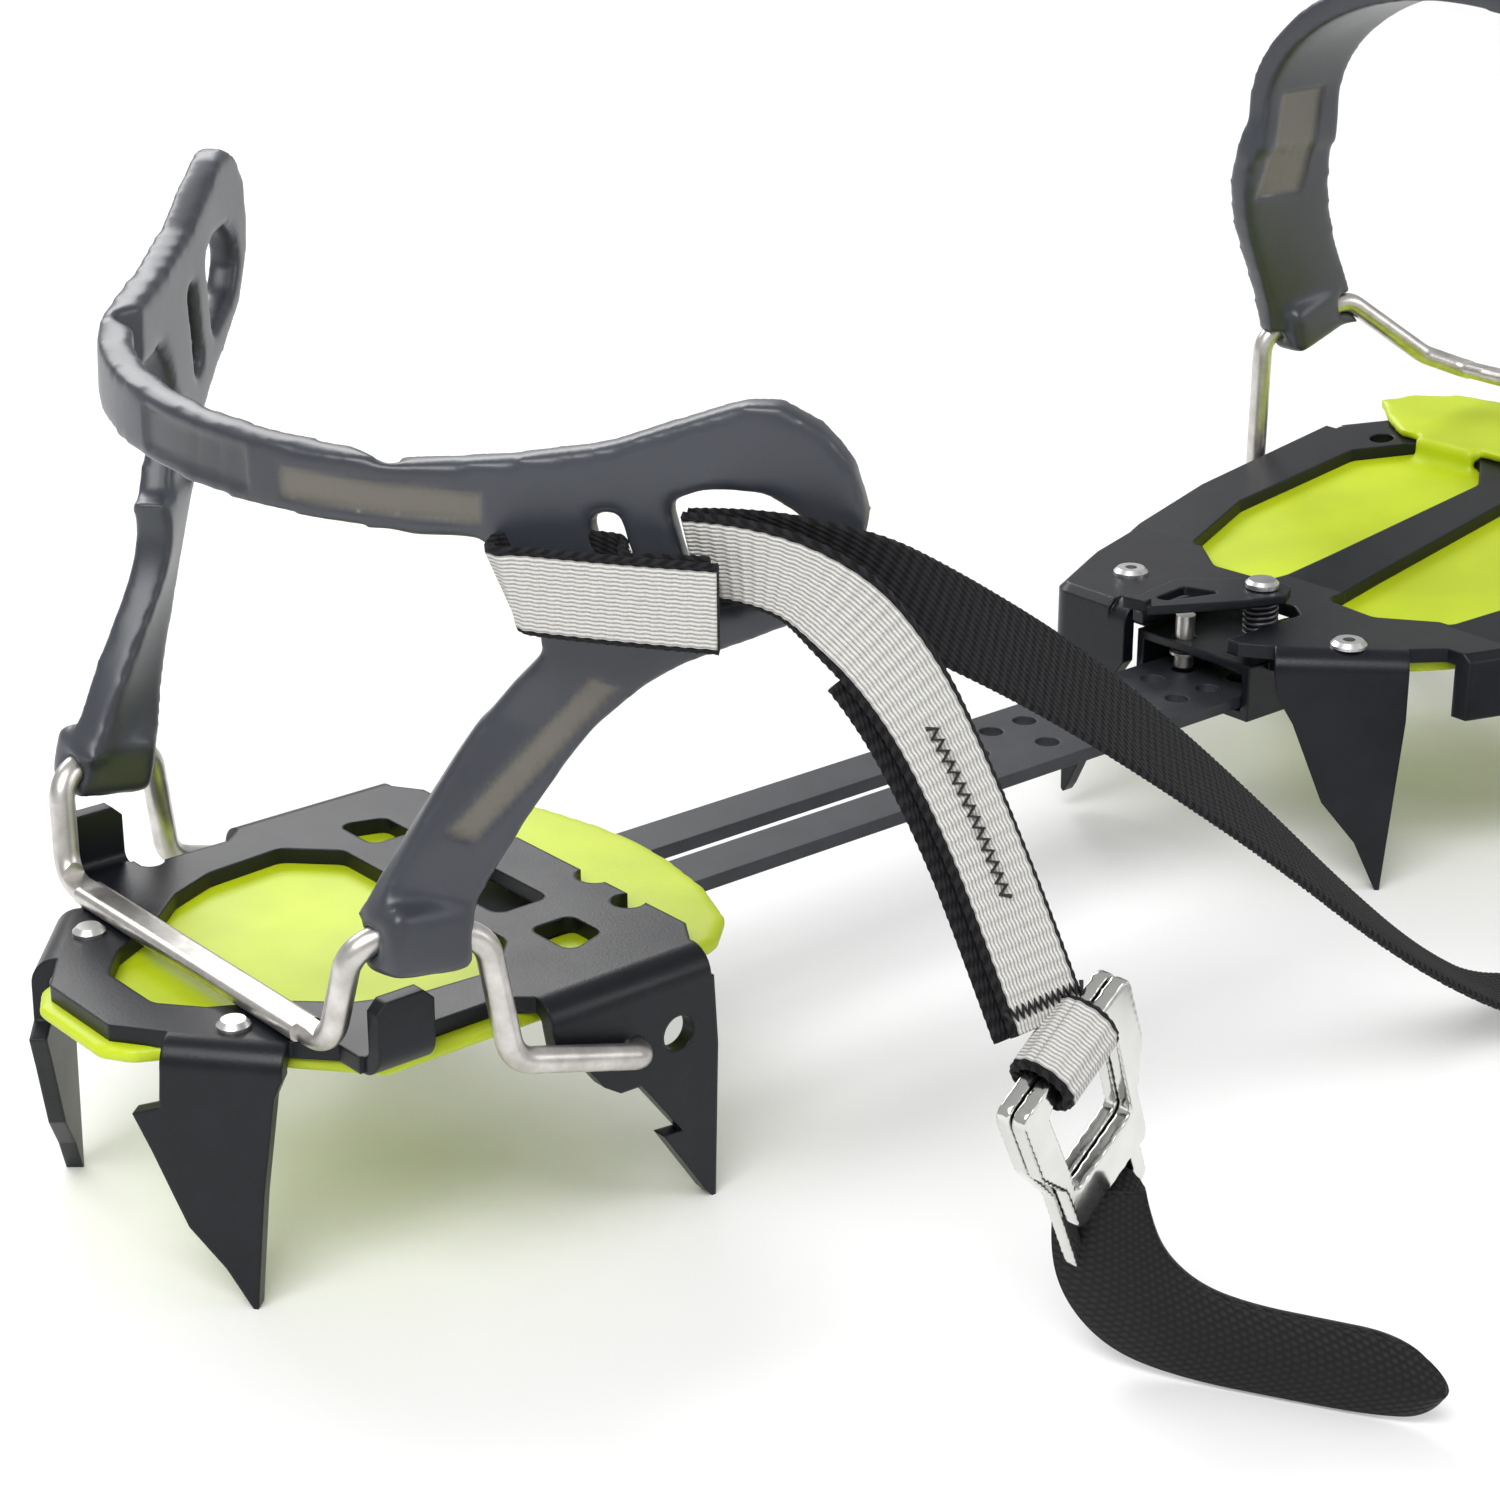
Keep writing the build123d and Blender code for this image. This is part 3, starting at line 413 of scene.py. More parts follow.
def light_webbing(colours):
    """The ribbed light face: loops in columns across ribs, both from the piece's own map."""
    finish = Finish("light ribbed webbing")
    parts = finish.node("ShaderNodeSeparateXYZ")
    finish.join(finish.place.outputs["UV"], parts.inputs["Vector"])
    columns = finish.wave(parts.outputs["X"], FULL_TURN * FACE_COLUMNS)
    ribs = finish.wave(parts.outputs["Y"], FULL_TURN)
    weave = finish.maths("MULTIPLY", finish.maths("ABSOLUTE", columns, 0.0), finish.span(ribs, 0.6, 1.0))
    yarn = finish.noise(4000.0, 2.0)
    height = finish.maths("ADD", weave, finish.maths("MULTIPLY", yarn, 0.5))
    # Colour follows the weave's height: painted shade between the loops and ribs and a painted highlight on
    # their tops, with random yarn tone mixed in
    dark, light = tones(colours.light_yarn, 0.55, 1.12)
    finish.join(finish.ramp(height, [(0.3, dark), (0.8, light)]), finish.shader.inputs["Base Color"])
    finish.set(Roughness=0.8, Sheen_Weight=0.05, Specular_IOR_Level=0.3)
    finish.bump(height, 0.8, 0.0004)
    return finish.material


def dark_webbing(colours):
    """The twill back and selvages."""
    finish = Finish("dark twill webbing")
    parts = finish.node("ShaderNodeSeparateXYZ")
    finish.join(finish.place.outputs["UV"], parts.inputs["Vector"])
    across = finish.maths("MULTIPLY", parts.outputs["X"], float(BACK_COLUMNS))
    twill = finish.wave(finish.maths("ADD", across, parts.outputs["Y"]), FULL_TURN)
    columns = finish.wave(parts.outputs["X"], FULL_TURN * BACK_COLUMNS)
    height = finish.maths("ADD", finish.maths("MULTIPLY", twill, columns), finish.noise(4000.0, 2.0))
    # Colour follows the twill's height: painted shade in its grooves and a painted highlight on the raised
    # twill, with random yarn tone mixed in
    dark, light = tones(colours.dark_yarn, 0.6, 2.6)
    finish.join(finish.ramp(height, [(0.1, dark), (0.9, light)]), finish.shader.inputs["Base Color"])
    finish.set(Roughness=0.8, Sheen_Weight=0.03, Specular_IOR_Level=0.2)
    finish.bump(height, 0.6, 0.0003)
    return finish.material


def coated_tab():
    """Black coated fabric with a fine square grid."""
    finish = Finish("coated tab fabric")
    parts = finish.node("ShaderNodeSeparateXYZ")
    finish.join(finish.place.outputs["Object"], parts.inputs["Vector"])
    rows = [finish.wave(parts.outputs[axis], FULL_TURN / TAB_GRID_PITCH) for axis in "XZ"]
    grid = finish.maths("MULTIPLY", *rows)
    # Colour follows the grid's height: painted shade in the grid's grooves, lighter on its raised squares
    finish.join(finish.ramp(grid, [(0.2, (0.006, 0.006, 0.007)), (0.8, (0.016, 0.016, 0.018))]),
                finish.shader.inputs["Base Color"])
    finish.set(Roughness=0.6, Specular_IOR_Level=0.25)
    finish.bump(grid, 0.5, 0.0002)
    return finish.material


# Webbing ------------------------------------------------------------------------------
ACROSS = (-1.0, -0.93, -0.84, -0.6, -0.3, 0.0, 0.3, 0.6, 0.84, 0.93, 1.0)
LIGHT_LIMIT = 0.86
EDGE_PITCH = 0.0013
EDGE_SLANT = 0.3
EDGE_THIN = 0.82
EDGE_BEAT = 0.012
BACK_THIN = 0.9
BACK_RIB = 0.5
BACK_RATE = 1.4


def strap_section(along, sizes):
    """The webbing's cross-section at a distance along it: (across, out) pairs, face then back."""
    rib = math.sin(FULL_TURN * along / sizes.rib_pitch)
    points = []
    for across in ACROSS:
        edge = abs(across) > LIGHT_LIMIT
        beat = math.sin(FULL_TURN * (along / EDGE_PITCH + EDGE_SLANT * across)) if edge else rib
        if abs(across) == 1.0:
            points.append((across + EDGE_BEAT * beat, 0.0))
        else:
            full = EDGE_THIN if edge else 1.0
            points.append((across, full * sizes.strap_half + beat * sizes.rib_height))
    for across in reversed(ACROSS[1:-1]):
        slant = math.sin(FULL_TURN * (along / sizes.rib_pitch * BACK_RATE + across))
        points.append((across, -sizes.strap_half * BACK_THIN - BACK_RIB * slant * sizes.rib_height))
    return points


def webbing(name, stations, sizes, finishes, side=1.0, wide_by=1.0):
    """A woven strap along stations, with finishes for its face and back; `side` flips the face."""
    step = (stations[1][0] - stations[0][0]).length
    half = sizes.strap_width / 2 * wide_by
    vertices = []
    ring = 2 * len(ACROSS) - 2
    for i, (place, width) in enumerate(stations):
        before = stations[max(i - 1, 0)][0]
        after = stations[min(i + 1, len(stations) - 1)][0]
        tangent = (after - before).normalized()
        wide = (width - tangent * width.dot(tangent)).normalized()
        out = tangent.cross(wide) * side
        for across, rise in strap_section(i * step, sizes):
            vertices.append(place + wide * (across * half) + out * rise)
    faces = []
    for i in range(len(stations) - 1):
        for j in range(ring):
            a, b = i * ring + j, i * ring + (j + 1) % ring
            faces.append((a, a + ring, b + ring, b) if side > 0 else (a, b, b + ring, a + ring))
    last = (len(stations) - 1) * ring
    faces.append(tuple(range(ring)) if side > 0 else tuple(reversed(range(ring))))
    cap = range(last, last + ring)
    faces.append(tuple(reversed(cap)) if side > 0 else tuple(cap))
    mesh = bpy.data.meshes.new(name)
    mesh.from_pydata(vertices, [], faces)
    piece = link_piece(name, mesh)
    for material in finishes:
        mesh.materials.append(material)
    layer = mesh.uv_layers.new(name="weave")
    count = len(ACROSS)
    for polygon in mesh.polygons:
        polygon.use_smooth = True
        segment = polygon.index % ring
        on_face = polygon.index < len(faces) - 2 and segment < count - 1
        middle = (ACROSS[segment] + ACROSS[segment + 1]) / 2 if on_face else 1.0
        polygon.material_index = 0 if on_face and abs(middle) < LIGHT_LIMIT else 1
        for loop in polygon.loop_indices:
            index = mesh.loops[loop].vertex_index
            row, column = divmod(index, ring)
            across = ACROSS[column] if column < count else ACROSS[ring - column]
            layer.data[loop].uv = ((across + 1) / 2, row * step / sizes.rib_pitch)
    return piece


def coil_points():
    """The put-away turns, an inward spiral with a loop of points for each turn."""
    steps = round(COIL_TURNS * COIL_STEPS)
    points = []
    for i in range(1, steps + 1):
        angle = math.radians(COIL_START) - FULL_TURN * i / COIL_STEPS
        radius = COIL_OUTER + (COIL_INNER - COIL_OUTER) * i / steps
        x = COIL_CENTRE[0] + radius * math.cos(angle)
        y = COIL_CENTRE[1] + radius * math.sin(angle)
        points.append((x, y, COIL_LEVEL))
    return points


def stations_of(route, widths, step):
    """Evenly spaced stations along a route of the webbing, and the route's length."""
    line = nurbs_samples([heel(*point) for point in route])
    directions = nurbs_samples([Vector(width) for width in widths])
    return even_stations(line, directions, step)


def thread_tree(material):
    """Sewing thread: a round strand along every edge of a mesh."""
    tree = bpy.data.node_groups.new("sewing thread", "GeometryNodeTree")
    tree.interface.new_socket("Geometry", in_out="INPUT", socket_type="NodeSocketGeometry")
    radius = tree.interface.new_socket("Thread Radius", in_out="INPUT", socket_type="NodeSocketFloat")
    tree.interface.new_socket("Geometry", in_out="OUTPUT", socket_type="NodeSocketGeometry")
    nodes, links = tree.nodes, tree.links
    entry = nodes.new("NodeGroupInput")
    strand = nodes.new("GeometryNodeMeshToCurve")
    profile = nodes.new("GeometryNodeCurvePrimitiveCircle")
    profile.inputs["Resolution"].default_value = 8
    round_thread = nodes.new("GeometryNodeCurveToMesh")
    round_thread.inputs["Fill Caps"].default_value = True
    realize = nodes.new("GeometryNodeRealizeInstances")
    coloured = nodes.new("GeometryNodeSetMaterial")
    coloured.inputs["Material"].default_value = material
    leave = nodes.new("NodeGroupOutput")
    links.new(entry.outputs["Geometry"], strand.inputs["Mesh"])
    links.new(strand.outputs["Curve"], round_thread.inputs["Curve"])
    links.new(entry.outputs["Thread Radius"], profile.inputs["Radius"])
    links.new(profile.outputs["Curve"], round_thread.inputs["Profile Curve"])
    links.new(round_thread.outputs["Mesh"], realize.inputs["Geometry"])
    links.new(realize.outputs["Geometry"], coloured.inputs["Geometry"])
    links.new(coloured.outputs["Geometry"], leave.inputs["Geometry"])
    return tree, radius.identifier


def sew(name, strands, sizes, material):
    """Thread along each strand, a list of places."""
    vertices, edges = [], []
    for strand in strands:
        start = len(vertices)
        vertices.extend(strand)
        edges.extend((start + i, start + i + 1) for i in range(len(strand) - 1))
    mesh = bpy.data.meshes.new(name)
    mesh.from_pydata(vertices, edges, [])
    piece = link_piece(name, mesh)
    tree, identifier = thread_tree(material)
    modifier = piece.modifiers.new("thread", "NODES")
    modifier.node_group = tree
    modifier[identifier] = sizes.thread_radius
    apply_modifiers(piece)
    bpy.data.node_groups.remove(tree)
    if not piece.data.materials:
        piece.data.materials.append(material)
    return piece


# Pieces -------------------------------------------------------------------------------
def assign(material, *names):
    """Gives CAD nodes whose shape is right their finish."""
    for name in names:
        mesh = NODES[name].data
        mesh.materials.clear()
        mesh.materials.append(material)


class CRAMPON_OT_frames(bpy.types.Operator):
    """Finish the coated frames, the link bar and the latch"""

    bl_idname = "crampon.frames"
    bl_label = "Frames and Bar"

    def execute(self, context):
        colours = context.scene.crampon_colours
        assign(coated_steel(colours), "heel_frame", "heel_bar_stirrup", "front_frame", "bar_guide",
               "latch_lever")
        assign(bar_steel(colours), "link_bar")
        turned = bright_metal("turned aluminium", 0.25, 0.4, (0.78, 0.78, 0.78))
        assign(turned, "heel_rivets", "front_rivets", "latch_pivot")
        return {"FINISHED"}


LEVER_COIL_TURNS = 6
LEVER_COIL_STEPS = 24


class CRAMPON_OT_wires(bpy.types.Operator):
    """Finish the bails, the hinge pin and the latch pin"""

    bl_idname = "crampon.wires"
    bl_label = "Wires and Pins"

    def execute(self, context):
        assign(stainless_wire(), "heel_bail_wire", "toe_bail_wire", "bar_hinge_pin", "latch_pin")
        spring = bright_metal("dark spring wire", 0.35, 0.5, (0.12, 0.12, 0.13))
        assign(spring, "latch_spring")
        low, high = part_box("lever_spring")
        middle = (low + high) / 2
        wire = (high.z - low.z) / (2 * (LEVER_COIL_TURNS + 1))
        radius = (high.x - low.x) / 2 - wire
        steps = LEVER_COIL_TURNS * LEVER_COIL_STEPS
        curve = bpy.data.curves.new("lever_coil", "CURVE")
        curve.dimensions = "3D"
        curve.bevel_depth = wire
        curve.bevel_resolution = 3
        curve.use_fill_caps = True
        helix = curve.splines.new("POLY")
        helix.points.add(steps)
        for i, point in enumerate(helix.points):
            angle = FULL_TURN * i / LEVER_COIL_STEPS
            rise = low.z + wire + (high.z - low.z - 2 * wire) * i / steps
            point.co = (middle.x + radius * math.cos(angle), middle.y + radius * math.sin(angle), rise, 1)
        curve.materials.append(spring)
        coil = link_piece("lever_coil", curve)
        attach(coil, "toe")
        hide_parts("lever_spring")
        return {"FINISHED"}


SHEET_ROUNDS = 3
HARNESS_ROUNDS = 14
BUCKLE_ROUNDS = 5


class CRAMPON_OT_sheets(bpy.types.Operator):
    """Build the flexible anti-balling sheets with soft edges"""

    bl_idname = "crampon.sheets"
    bl_label = "Flexible Sheets"

    def execute(self, context):
        sizes = context.scene.crampon_sizes
        material = lime_sheet(context.scene.crampon_colours)
        for node, body in (("heel_antiball_plate", "heel"), ("front_antiball_plate", "toe")):
            piece = softened_copy(node, node.replace("plate", "sheet"), sizes.sheet_grain, SHEET_ROUNDS)
            piece.data.materials.append(material)
            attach(piece, body)
            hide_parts(node)
        return {"FINISHED"}


class CRAMPON_OT_harness(bpy.types.Operator):
    """Build the moulded heel and toe harness with rounded edges"""

    bl_idname = "crampon.harness"
    bl_label = "Harness"

    def execute(self, context):
        sizes = context.scene.crampon_sizes
        material = smoky_polymer(context.scene.crampon_colours)
        for node, body in (("heel_harness", "heel_bail"), ("toe_harness", "toe_bail")):
            piece = softened_copy(node, f"{node}_moulding", sizes.harness_grain, HARNESS_ROUNDS)
            mark_panels(piece, node)
            piece.data.materials.append(material)
            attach(piece, body)
            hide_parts(node)
        return {"FINISHED"}


# The harness's left arm and rear band, and its thin panels: each outline in the wall's own
# directions, with the share of the thin tint
ARM_ANGLE = math.radians(-49.6)
ARM_ORIGIN = (20.0, -42.0)
BAND_CENTRE = 57.0
BAND_BOTTOM = 108.8
BAND_LEAN = math.tan(math.radians(5.0))
LEG_PANEL = [(-1.2, 70.4), (17.2, 91.1), (20.4, 89.9), (2.1, 69.2)]
BAND_PANELS = (
    (1.0, [(204.5, 2.4), (232.0, 2.4), (232.0, 6.4), (204.5, 6.4)]),
    (0.12, [(178.0, 2.0), (199.0, 2.0), (199.0, 7.6), (178.0, 7.6)]),
)
TOE_PANEL = [(51.0, 104.0), (62.0, 104.0), (64.0, 124.0), (53.0, 124.0)]
PANEL_DEPTH = 0.0007
PANEL_EDGE = 0.9
FACING_SHARE = 0.4
BAND_FACING_SHARE = 0.5
BAND_MARGIN = 2


def polygon_depth(x, y, corners):
    """How far a point lies inside a convex outline, negative outside."""
    depth = math.inf
    area = sum(ax * by - bx * ay for (ax, ay), (bx, by) in zip(corners, corners[1:] + corners[:1]))
    sign = 1 if area > 0 else -1
    for (ax, ay), (bx, by) in zip(corners, corners[1:] + corners[:1]):
        length = math.hypot(bx - ax, by - ay)
        depth = min(depth, sign * ((bx - ax) * (y - ay) - (by - ay) * (x - ax)) / length)
    return depth


def sink(piece, attribute, index, depth, tint=1.0):
    """Moves one point of the wall into a panel, by how far it lies inside the panel's outline."""
    share = min(max(depth / PANEL_EDGE + 0.5, 0.0), 1.0)
    if share > 0:
        attribute.data[index].value = share * tint
        piece.data.vertices[index].co -= piece.data.vertices[index].normal * (PANEL_DEPTH * share)


def mark_panels(piece, node):
    """Sinks the thin panels into the outer face and marks them for the finish."""
    attribute = piece.data.attributes.new("thin_wall", "FLOAT", "POINT")
    if node == "toe_harness":
        for vertex in piece.data.vertices:
            local = (vertex.co - TOE_ORIGIN) / MM
            if local.y > 0 and vertex.normal.y < -FACING_SHARE:
                sink(piece, attribute, vertex.index, polygon_depth(local.x, local.z, TOE_PANEL))
        return
    along = Vector((math.cos(ARM_ANGLE), math.sin(ARM_ANGLE), 0))
    outward = Vector((along.y, -along.x, 0))
    for vertex in piece.data.vertices:
        local = (vertex.co - HEEL_ORIGIN) / MM
        if vertex.normal.dot(outward) > FACING_SHARE:
            flat = local - Vector((*ARM_ORIGIN, 0))
            sink(piece, attribute, vertex.index, polygon_depth(flat.dot(along), flat.z, LEG_PANEL))
        spoke = Vector((local.x - BAND_CENTRE, local.y, 0))
        outside = vertex.normal.dot(spoke) > BAND_FACING_SHARE * spoke.length
        if outside and local.z > BAND_BOTTOM - BAND_MARGIN:
            turn = math.degrees(math.atan2(spoke.y, spoke.x)) % 360
            rise = local.z - BAND_BOTTOM - BAND_LEAN * (local.y - ARM_ORIGIN[1])
            for tint, outline in BAND_PANELS:
                sink(piece, attribute, vertex.index, polygon_depth(turn, rise, outline), tint)


# The pull tab's outline (along it, level) and the rear ring's bottom bar that it turns round
TAB_ORIGIN = (71.0, -109.6)
TAB_ALONG = Vector((0.5, -0.866, 0)).normalized()
TAB_UPPER = [
    (6.2, 27), (6.8, 24), (9, 18.5), (14, 14.6), (21, 13.2), (30, 13.0), (39, 12.8), (45, 9.5), (46, 6),
]
TAB_LOWER = [
    (-5.5, 26), (-6.3, 19), (-4.5, 10), (2, 3.2), (12, 0.9), (26, 0.7), (38, 0.8), (44.5, 2.2), (46, 6),
]
TAB_ROWS = 12
TAB_THICK = 0.0014
TAB_BOW = 0.0012
TAB_BAR = Vector((0.0, -37.2, -1.15))
TAB_BAR_HALF = (0.0034, 0.0025)
TAB_LOOP_STEPS = 96
TAB_LOOP_WIDE = 0.96
TAB_FACE_AREA = 1e-7
BUCKLE_TOP = (58.0, -115.0, 52.0)
BUCKLE_WIDE = Vector((0.855, 0.135, 0.497)).normalized()
BUCKLE_DOWN = Vector((0.470, 0.190, -0.863))


def tab_strip(fabric):
    """The pull tab: a curved strip that stands on its long edge and bows a little."""
    facing = Vector((TAB_ALONG.y, -TAB_ALONG.x, 0))

    def edge(outline):
        places = [heel(*TAB_ORIGIN, z) + TAB_ALONG * (s * MM) for s, z in outline]
        return nurbs_samples(places, 14)

    upper, lower = edge(TAB_UPPER), edge(TAB_LOWER)
    vertices, faces = [], []
    for above, below in zip(upper, lower):
        for row in range(TAB_ROWS + 1):
            share = row / TAB_ROWS
            bow = math.sin(math.pi * share) * TAB_BOW
            vertices.append(below.lerp(above, share) + facing * bow)
    width = TAB_ROWS + 1
    for i in range(len(upper) - 1):
        for row in range(TAB_ROWS):
            a = i * width + row
            faces.append((a, a + width, a + width + 1, a + 1))
    mesh = bpy.data.meshes.new("pull_tab_fabric")
    mesh.from_pydata(vertices, [], faces)
    shape = bmesh.new()
    shape.from_mesh(mesh)
    bmesh.ops.remove_doubles(shape, verts=shape.verts, dist=1e-5)
    bmesh.ops.recalc_face_normals(shape, faces=shape.faces)
    shape.to_mesh(mesh)
    shape.free()
    piece = link_piece("pull_tab_fabric", mesh)
    wall = piece.modifiers.new("thickness", "SOLIDIFY")
    wall.thickness = TAB_THICK
    wall.offset = 0.0
    apply_modifiers(piece)
    piece.data.materials.append(fabric)
    for polygon in piece.data.polygons:
        polygon.use_smooth = polygon.area > TAB_FACE_AREA
    return piece


def tab_loop(sizes, fabric):
    """The tab's end, sewn round the bottom bar of the rear ring."""
    facing = BUCKLE_DOWN.cross(BUCKLE_WIDE).normalized()
    down = BUCKLE_WIDE.cross(facing).normalized()
    middle = heel(*BUCKLE_TOP) - down * (TAB_BAR.y * MM) + facing * (TAB_BAR.z * MM)
    ring = []
    for i in range(TAB_LOOP_STEPS + 1):
        angle = FULL_TURN * i / TAB_LOOP_STEPS
        beside = down * (TAB_BAR_HALF[0] * math.cos(angle))
        ring.append((middle + beside + facing * (TAB_BAR_HALF[1] * math.sin(angle)), BUCKLE_WIDE))
    return webbing("pull_tab_loop", ring, sizes, (fabric, fabric), 1.0, TAB_LOOP_WIDE)


class CRAMPON_OT_buckle(bpy.types.Operator):
    """Build the two polished buckle rings and the pull tab"""

    bl_idname = "crampon.buckle"
    bl_label = "Buckle"

    def execute(self, context):
        sizes = context.scene.crampon_sizes
        polished = bright_metal("polished aluminium", 0.1, 0.2, (0.70, 0.70, 0.675))
        for node in ("buckle_ring_front", "buckle_ring_rear"):
            piece = softened_copy(node, f"{node}_polished", sizes.buckle_grain, BUCKLE_ROUNDS)
            piece.data.materials.append(polished)
            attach(piece, "buckle")
            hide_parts(node)
        fabric = coated_tab()
        tab = tab_strip(fabric)
        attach(tab, "buckle")
        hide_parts("pull_tab")
        around = tab_loop(sizes, fabric)
        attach(around, "buckle")
        return {"FINISHED"}


# The wrap through the harness's slots: (along the arm, inward) in millimetres
WRAP_PATH = [
    (33, -9.2), (24, -8.6), (10, -6.8), (5.2, -5.6), (4.9, -0.4), (7.6, 1.05), (19.1, 1.05),
    (21.2, -0.4), (22.0, -3.2), (22.5, -5.2), (25.2, -6.6), (31.5, -6.7),
]
WRAP_LEVEL = 98.8
WRAP_SHIFT = 2.3
FINE_STEP = 0.00038
COIL_STEP = 0.00045

# Places of the sewing, as shares of the buckle run's length
FOLD_START = 0.36
TACK_FROM, TACK_TO = 0.50, 0.80
CROSS_TACK = 0.965
CROSS_TACK_ROWS = 26
FOLD_GAP = 0.00155
FOLD_SLIP = 0.0016
TACK_HALF = 0.0007
STITCH_RISE = 0.0009
LOOP_LINE_RADIUS = 0.00385
LOOP_STEPS = 128


def axes_at(stations, i, side):
    """The place, width and outward directions of a strap at one station."""
    place, width = stations[i]
    before = stations[max(i - 1, 0)][0]
    after = stations[min(i + 1, len(stations) - 1)][0]
    tangent = (after - before).normalized()
    wide = (width - tangent * width.dot(tangent)).normalized()
    return place, wide, tangent.cross(wide) * side


def fold_back(stations, sizes, finishes):
    """The sewn-back layer behind the run, from its raw end to the buckle."""
    layer = []
    for i in range(round(FOLD_START * len(stations)), len(stations)):
        place, wide, out = axes_at(stations, i, 1.0)
        layer.append((place - out * FOLD_GAP - wide * FOLD_SLIP, stations[i][1]))
    piece = webbing("webbing_fold_back", layer, sizes, (finishes[1], finishes[1]), 1.0)
    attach(piece, "heel_bail")
    return piece


def bar_tacks(stations, sizes):
    """The long tack down the run and the one across it above the buckle."""
    last = len(stations) - 1
    long_tack, cross_tack = [], []
    for count, i in enumerate(range(round(TACK_FROM * last), round(TACK_TO * last), 2)):
        place, wide, out = axes_at(stations, i, 1.0)
        swing = TACK_HALF if count % 2 else -TACK_HALF
        long_tack.append(place + wide * swing + out * STITCH_RISE)
    place, wide, out = axes_at(stations, round(CROSS_TACK * last), 1.0)
    run = (stations[last][0] - stations[last - 4][0]).normalized()
    for count in range(CROSS_TACK_ROWS + 1):
        across = (2 * count / CROSS_TACK_ROWS - 1) * sizes.strap_width * 0.5
        swing = TACK_HALF if count % 2 else -TACK_HALF
        cross_tack.append(place + wide * across + run * swing + out * STITCH_RISE)
    thread = Finish("black sewing thread")
    shade = thread.ramp(thread.noise(3000.0), [(0.3, (0.004, 0.004, 0.004)), (0.7, (0.02, 0.02, 0.02))])
    thread.join(shade, thread.shader.inputs["Base Color"])
    thread.set(Roughness=0.6)
    piece = sew("sewn_tacks", [long_tack, cross_tack], sizes, thread.material)
    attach(piece, "heel_bail")
    return piece


def buckle_loop(sizes, finishes):
    """The webbing's end, turned round the top bars of both rings."""
    joint = next(j for j in frame["joints"] if j["name"] == "buckle_hinge")
    middle = Vector(joint["pos_m"])
    axis = Vector(joint["axis"]).normalized()
    up = Vector((0, 0, 1))
    start = (up - axis * up.dot(axis)).normalized()
    ring = []
    for i in range(LOOP_STEPS + 1):
        angle = FULL_TURN * i / LOOP_STEPS
        spoke = start * math.cos(angle) + axis.cross(start) * math.sin(angle)
        ring.append((middle + spoke * LOOP_LINE_RADIUS, axis))
    piece = webbing("webbing_loop", ring, sizes, finishes, 1.0)
    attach(piece, "heel_bail")
    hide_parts("strap_loop")
    return piece


class CRAMPON_OT_webbing(bpy.types.Operator):
    """Lay the webbing: the wrap, the run to the buckle and the long free run"""

    bl_idname = "crampon.webbing"
    bl_label = "Webbing"

    def execute(self, context):
        sizes = context.scene.crampon_sizes
        colours = context.scene.crampon_colours
        finishes = (light_webbing(colours), dark_webbing(colours))
        along = Vector((math.cos(ARM_ANGLE), math.sin(ARM_ANGLE), 0))
        outward = Vector((along.y, -along.x, 0))
        lean = along * -0.385 + Vector((0, 0, 0.923))
        corner = heel(*ARM_ORIGIN, WRAP_LEVEL + sizes.strap_width / MM / 2)
        places = [corner + (along * (s + WRAP_SHIFT) + outward * -a) * MM for s, a in WRAP_PATH]
        line = nurbs_samples(places)
        stations, _ = even_stations(line, [lean] * len(line), FINE_STEP)
        wrap = webbing("webbing_wrap", stations, sizes, finishes, -1.0)
        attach(wrap, "heel_bail")
        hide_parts("strap_wrap")

        stations, length = stations_of(BUCKLE_RUN, BUCKLE_RUN_WIDTH, FINE_STEP)
        run = webbing("webbing_buckle_run", stations, sizes, finishes, 1.0)
        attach(run, "heel_bail")
        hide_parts("strap_buckle_run")
        folded = fold_back(stations, sizes, finishes)
        tacks = bar_tacks(stations, sizes)
        loop = buckle_loop(sizes, finishes)

        route = LONG_RUN + coil_points()
        widths = LONG_RUN_WIDTH + [(0.0, 0.0, 1.0)] * (len(route) - len(LONG_RUN))
        stations, length = stations_of(route, widths, COIL_STEP)
        long_run = webbing("webbing_long_run", stations, sizes, finishes, -1.0)
        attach(long_run, "heel_bail")
        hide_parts("strap_long_run", "strap_coil")
        return {"FINISHED"}


# Stage --------------------------------------------------------------------------------
# The camera's place in the heel section's millimetres, its turns in degrees
CAMERA_PLACE = (-201.04, -362.29, 234.80)
CAMERA_HEADING = 49.889
CAMERA_DROP = 21.734
CAMERA_ROLL = 0.06
CAMERA_LENS = 77.4
CAMERA_SENSOR = 36.0
FLOOR_SIZE = 6.0
WORLD_STRENGTH = 0.5


def area_light(name, place, size, energy, target):
    data = bpy.data.lights.new(name, "AREA")
    data.shape = "RECTANGLE"
    data.size, data.size_y = size
    data.energy = energy
    lamp = link_piece(name, data)
    lamp.location = place
    lamp.rotation_euler = (target - Vector(place)).to_track_quat("-Z", "Y").to_euler()
    return lamp


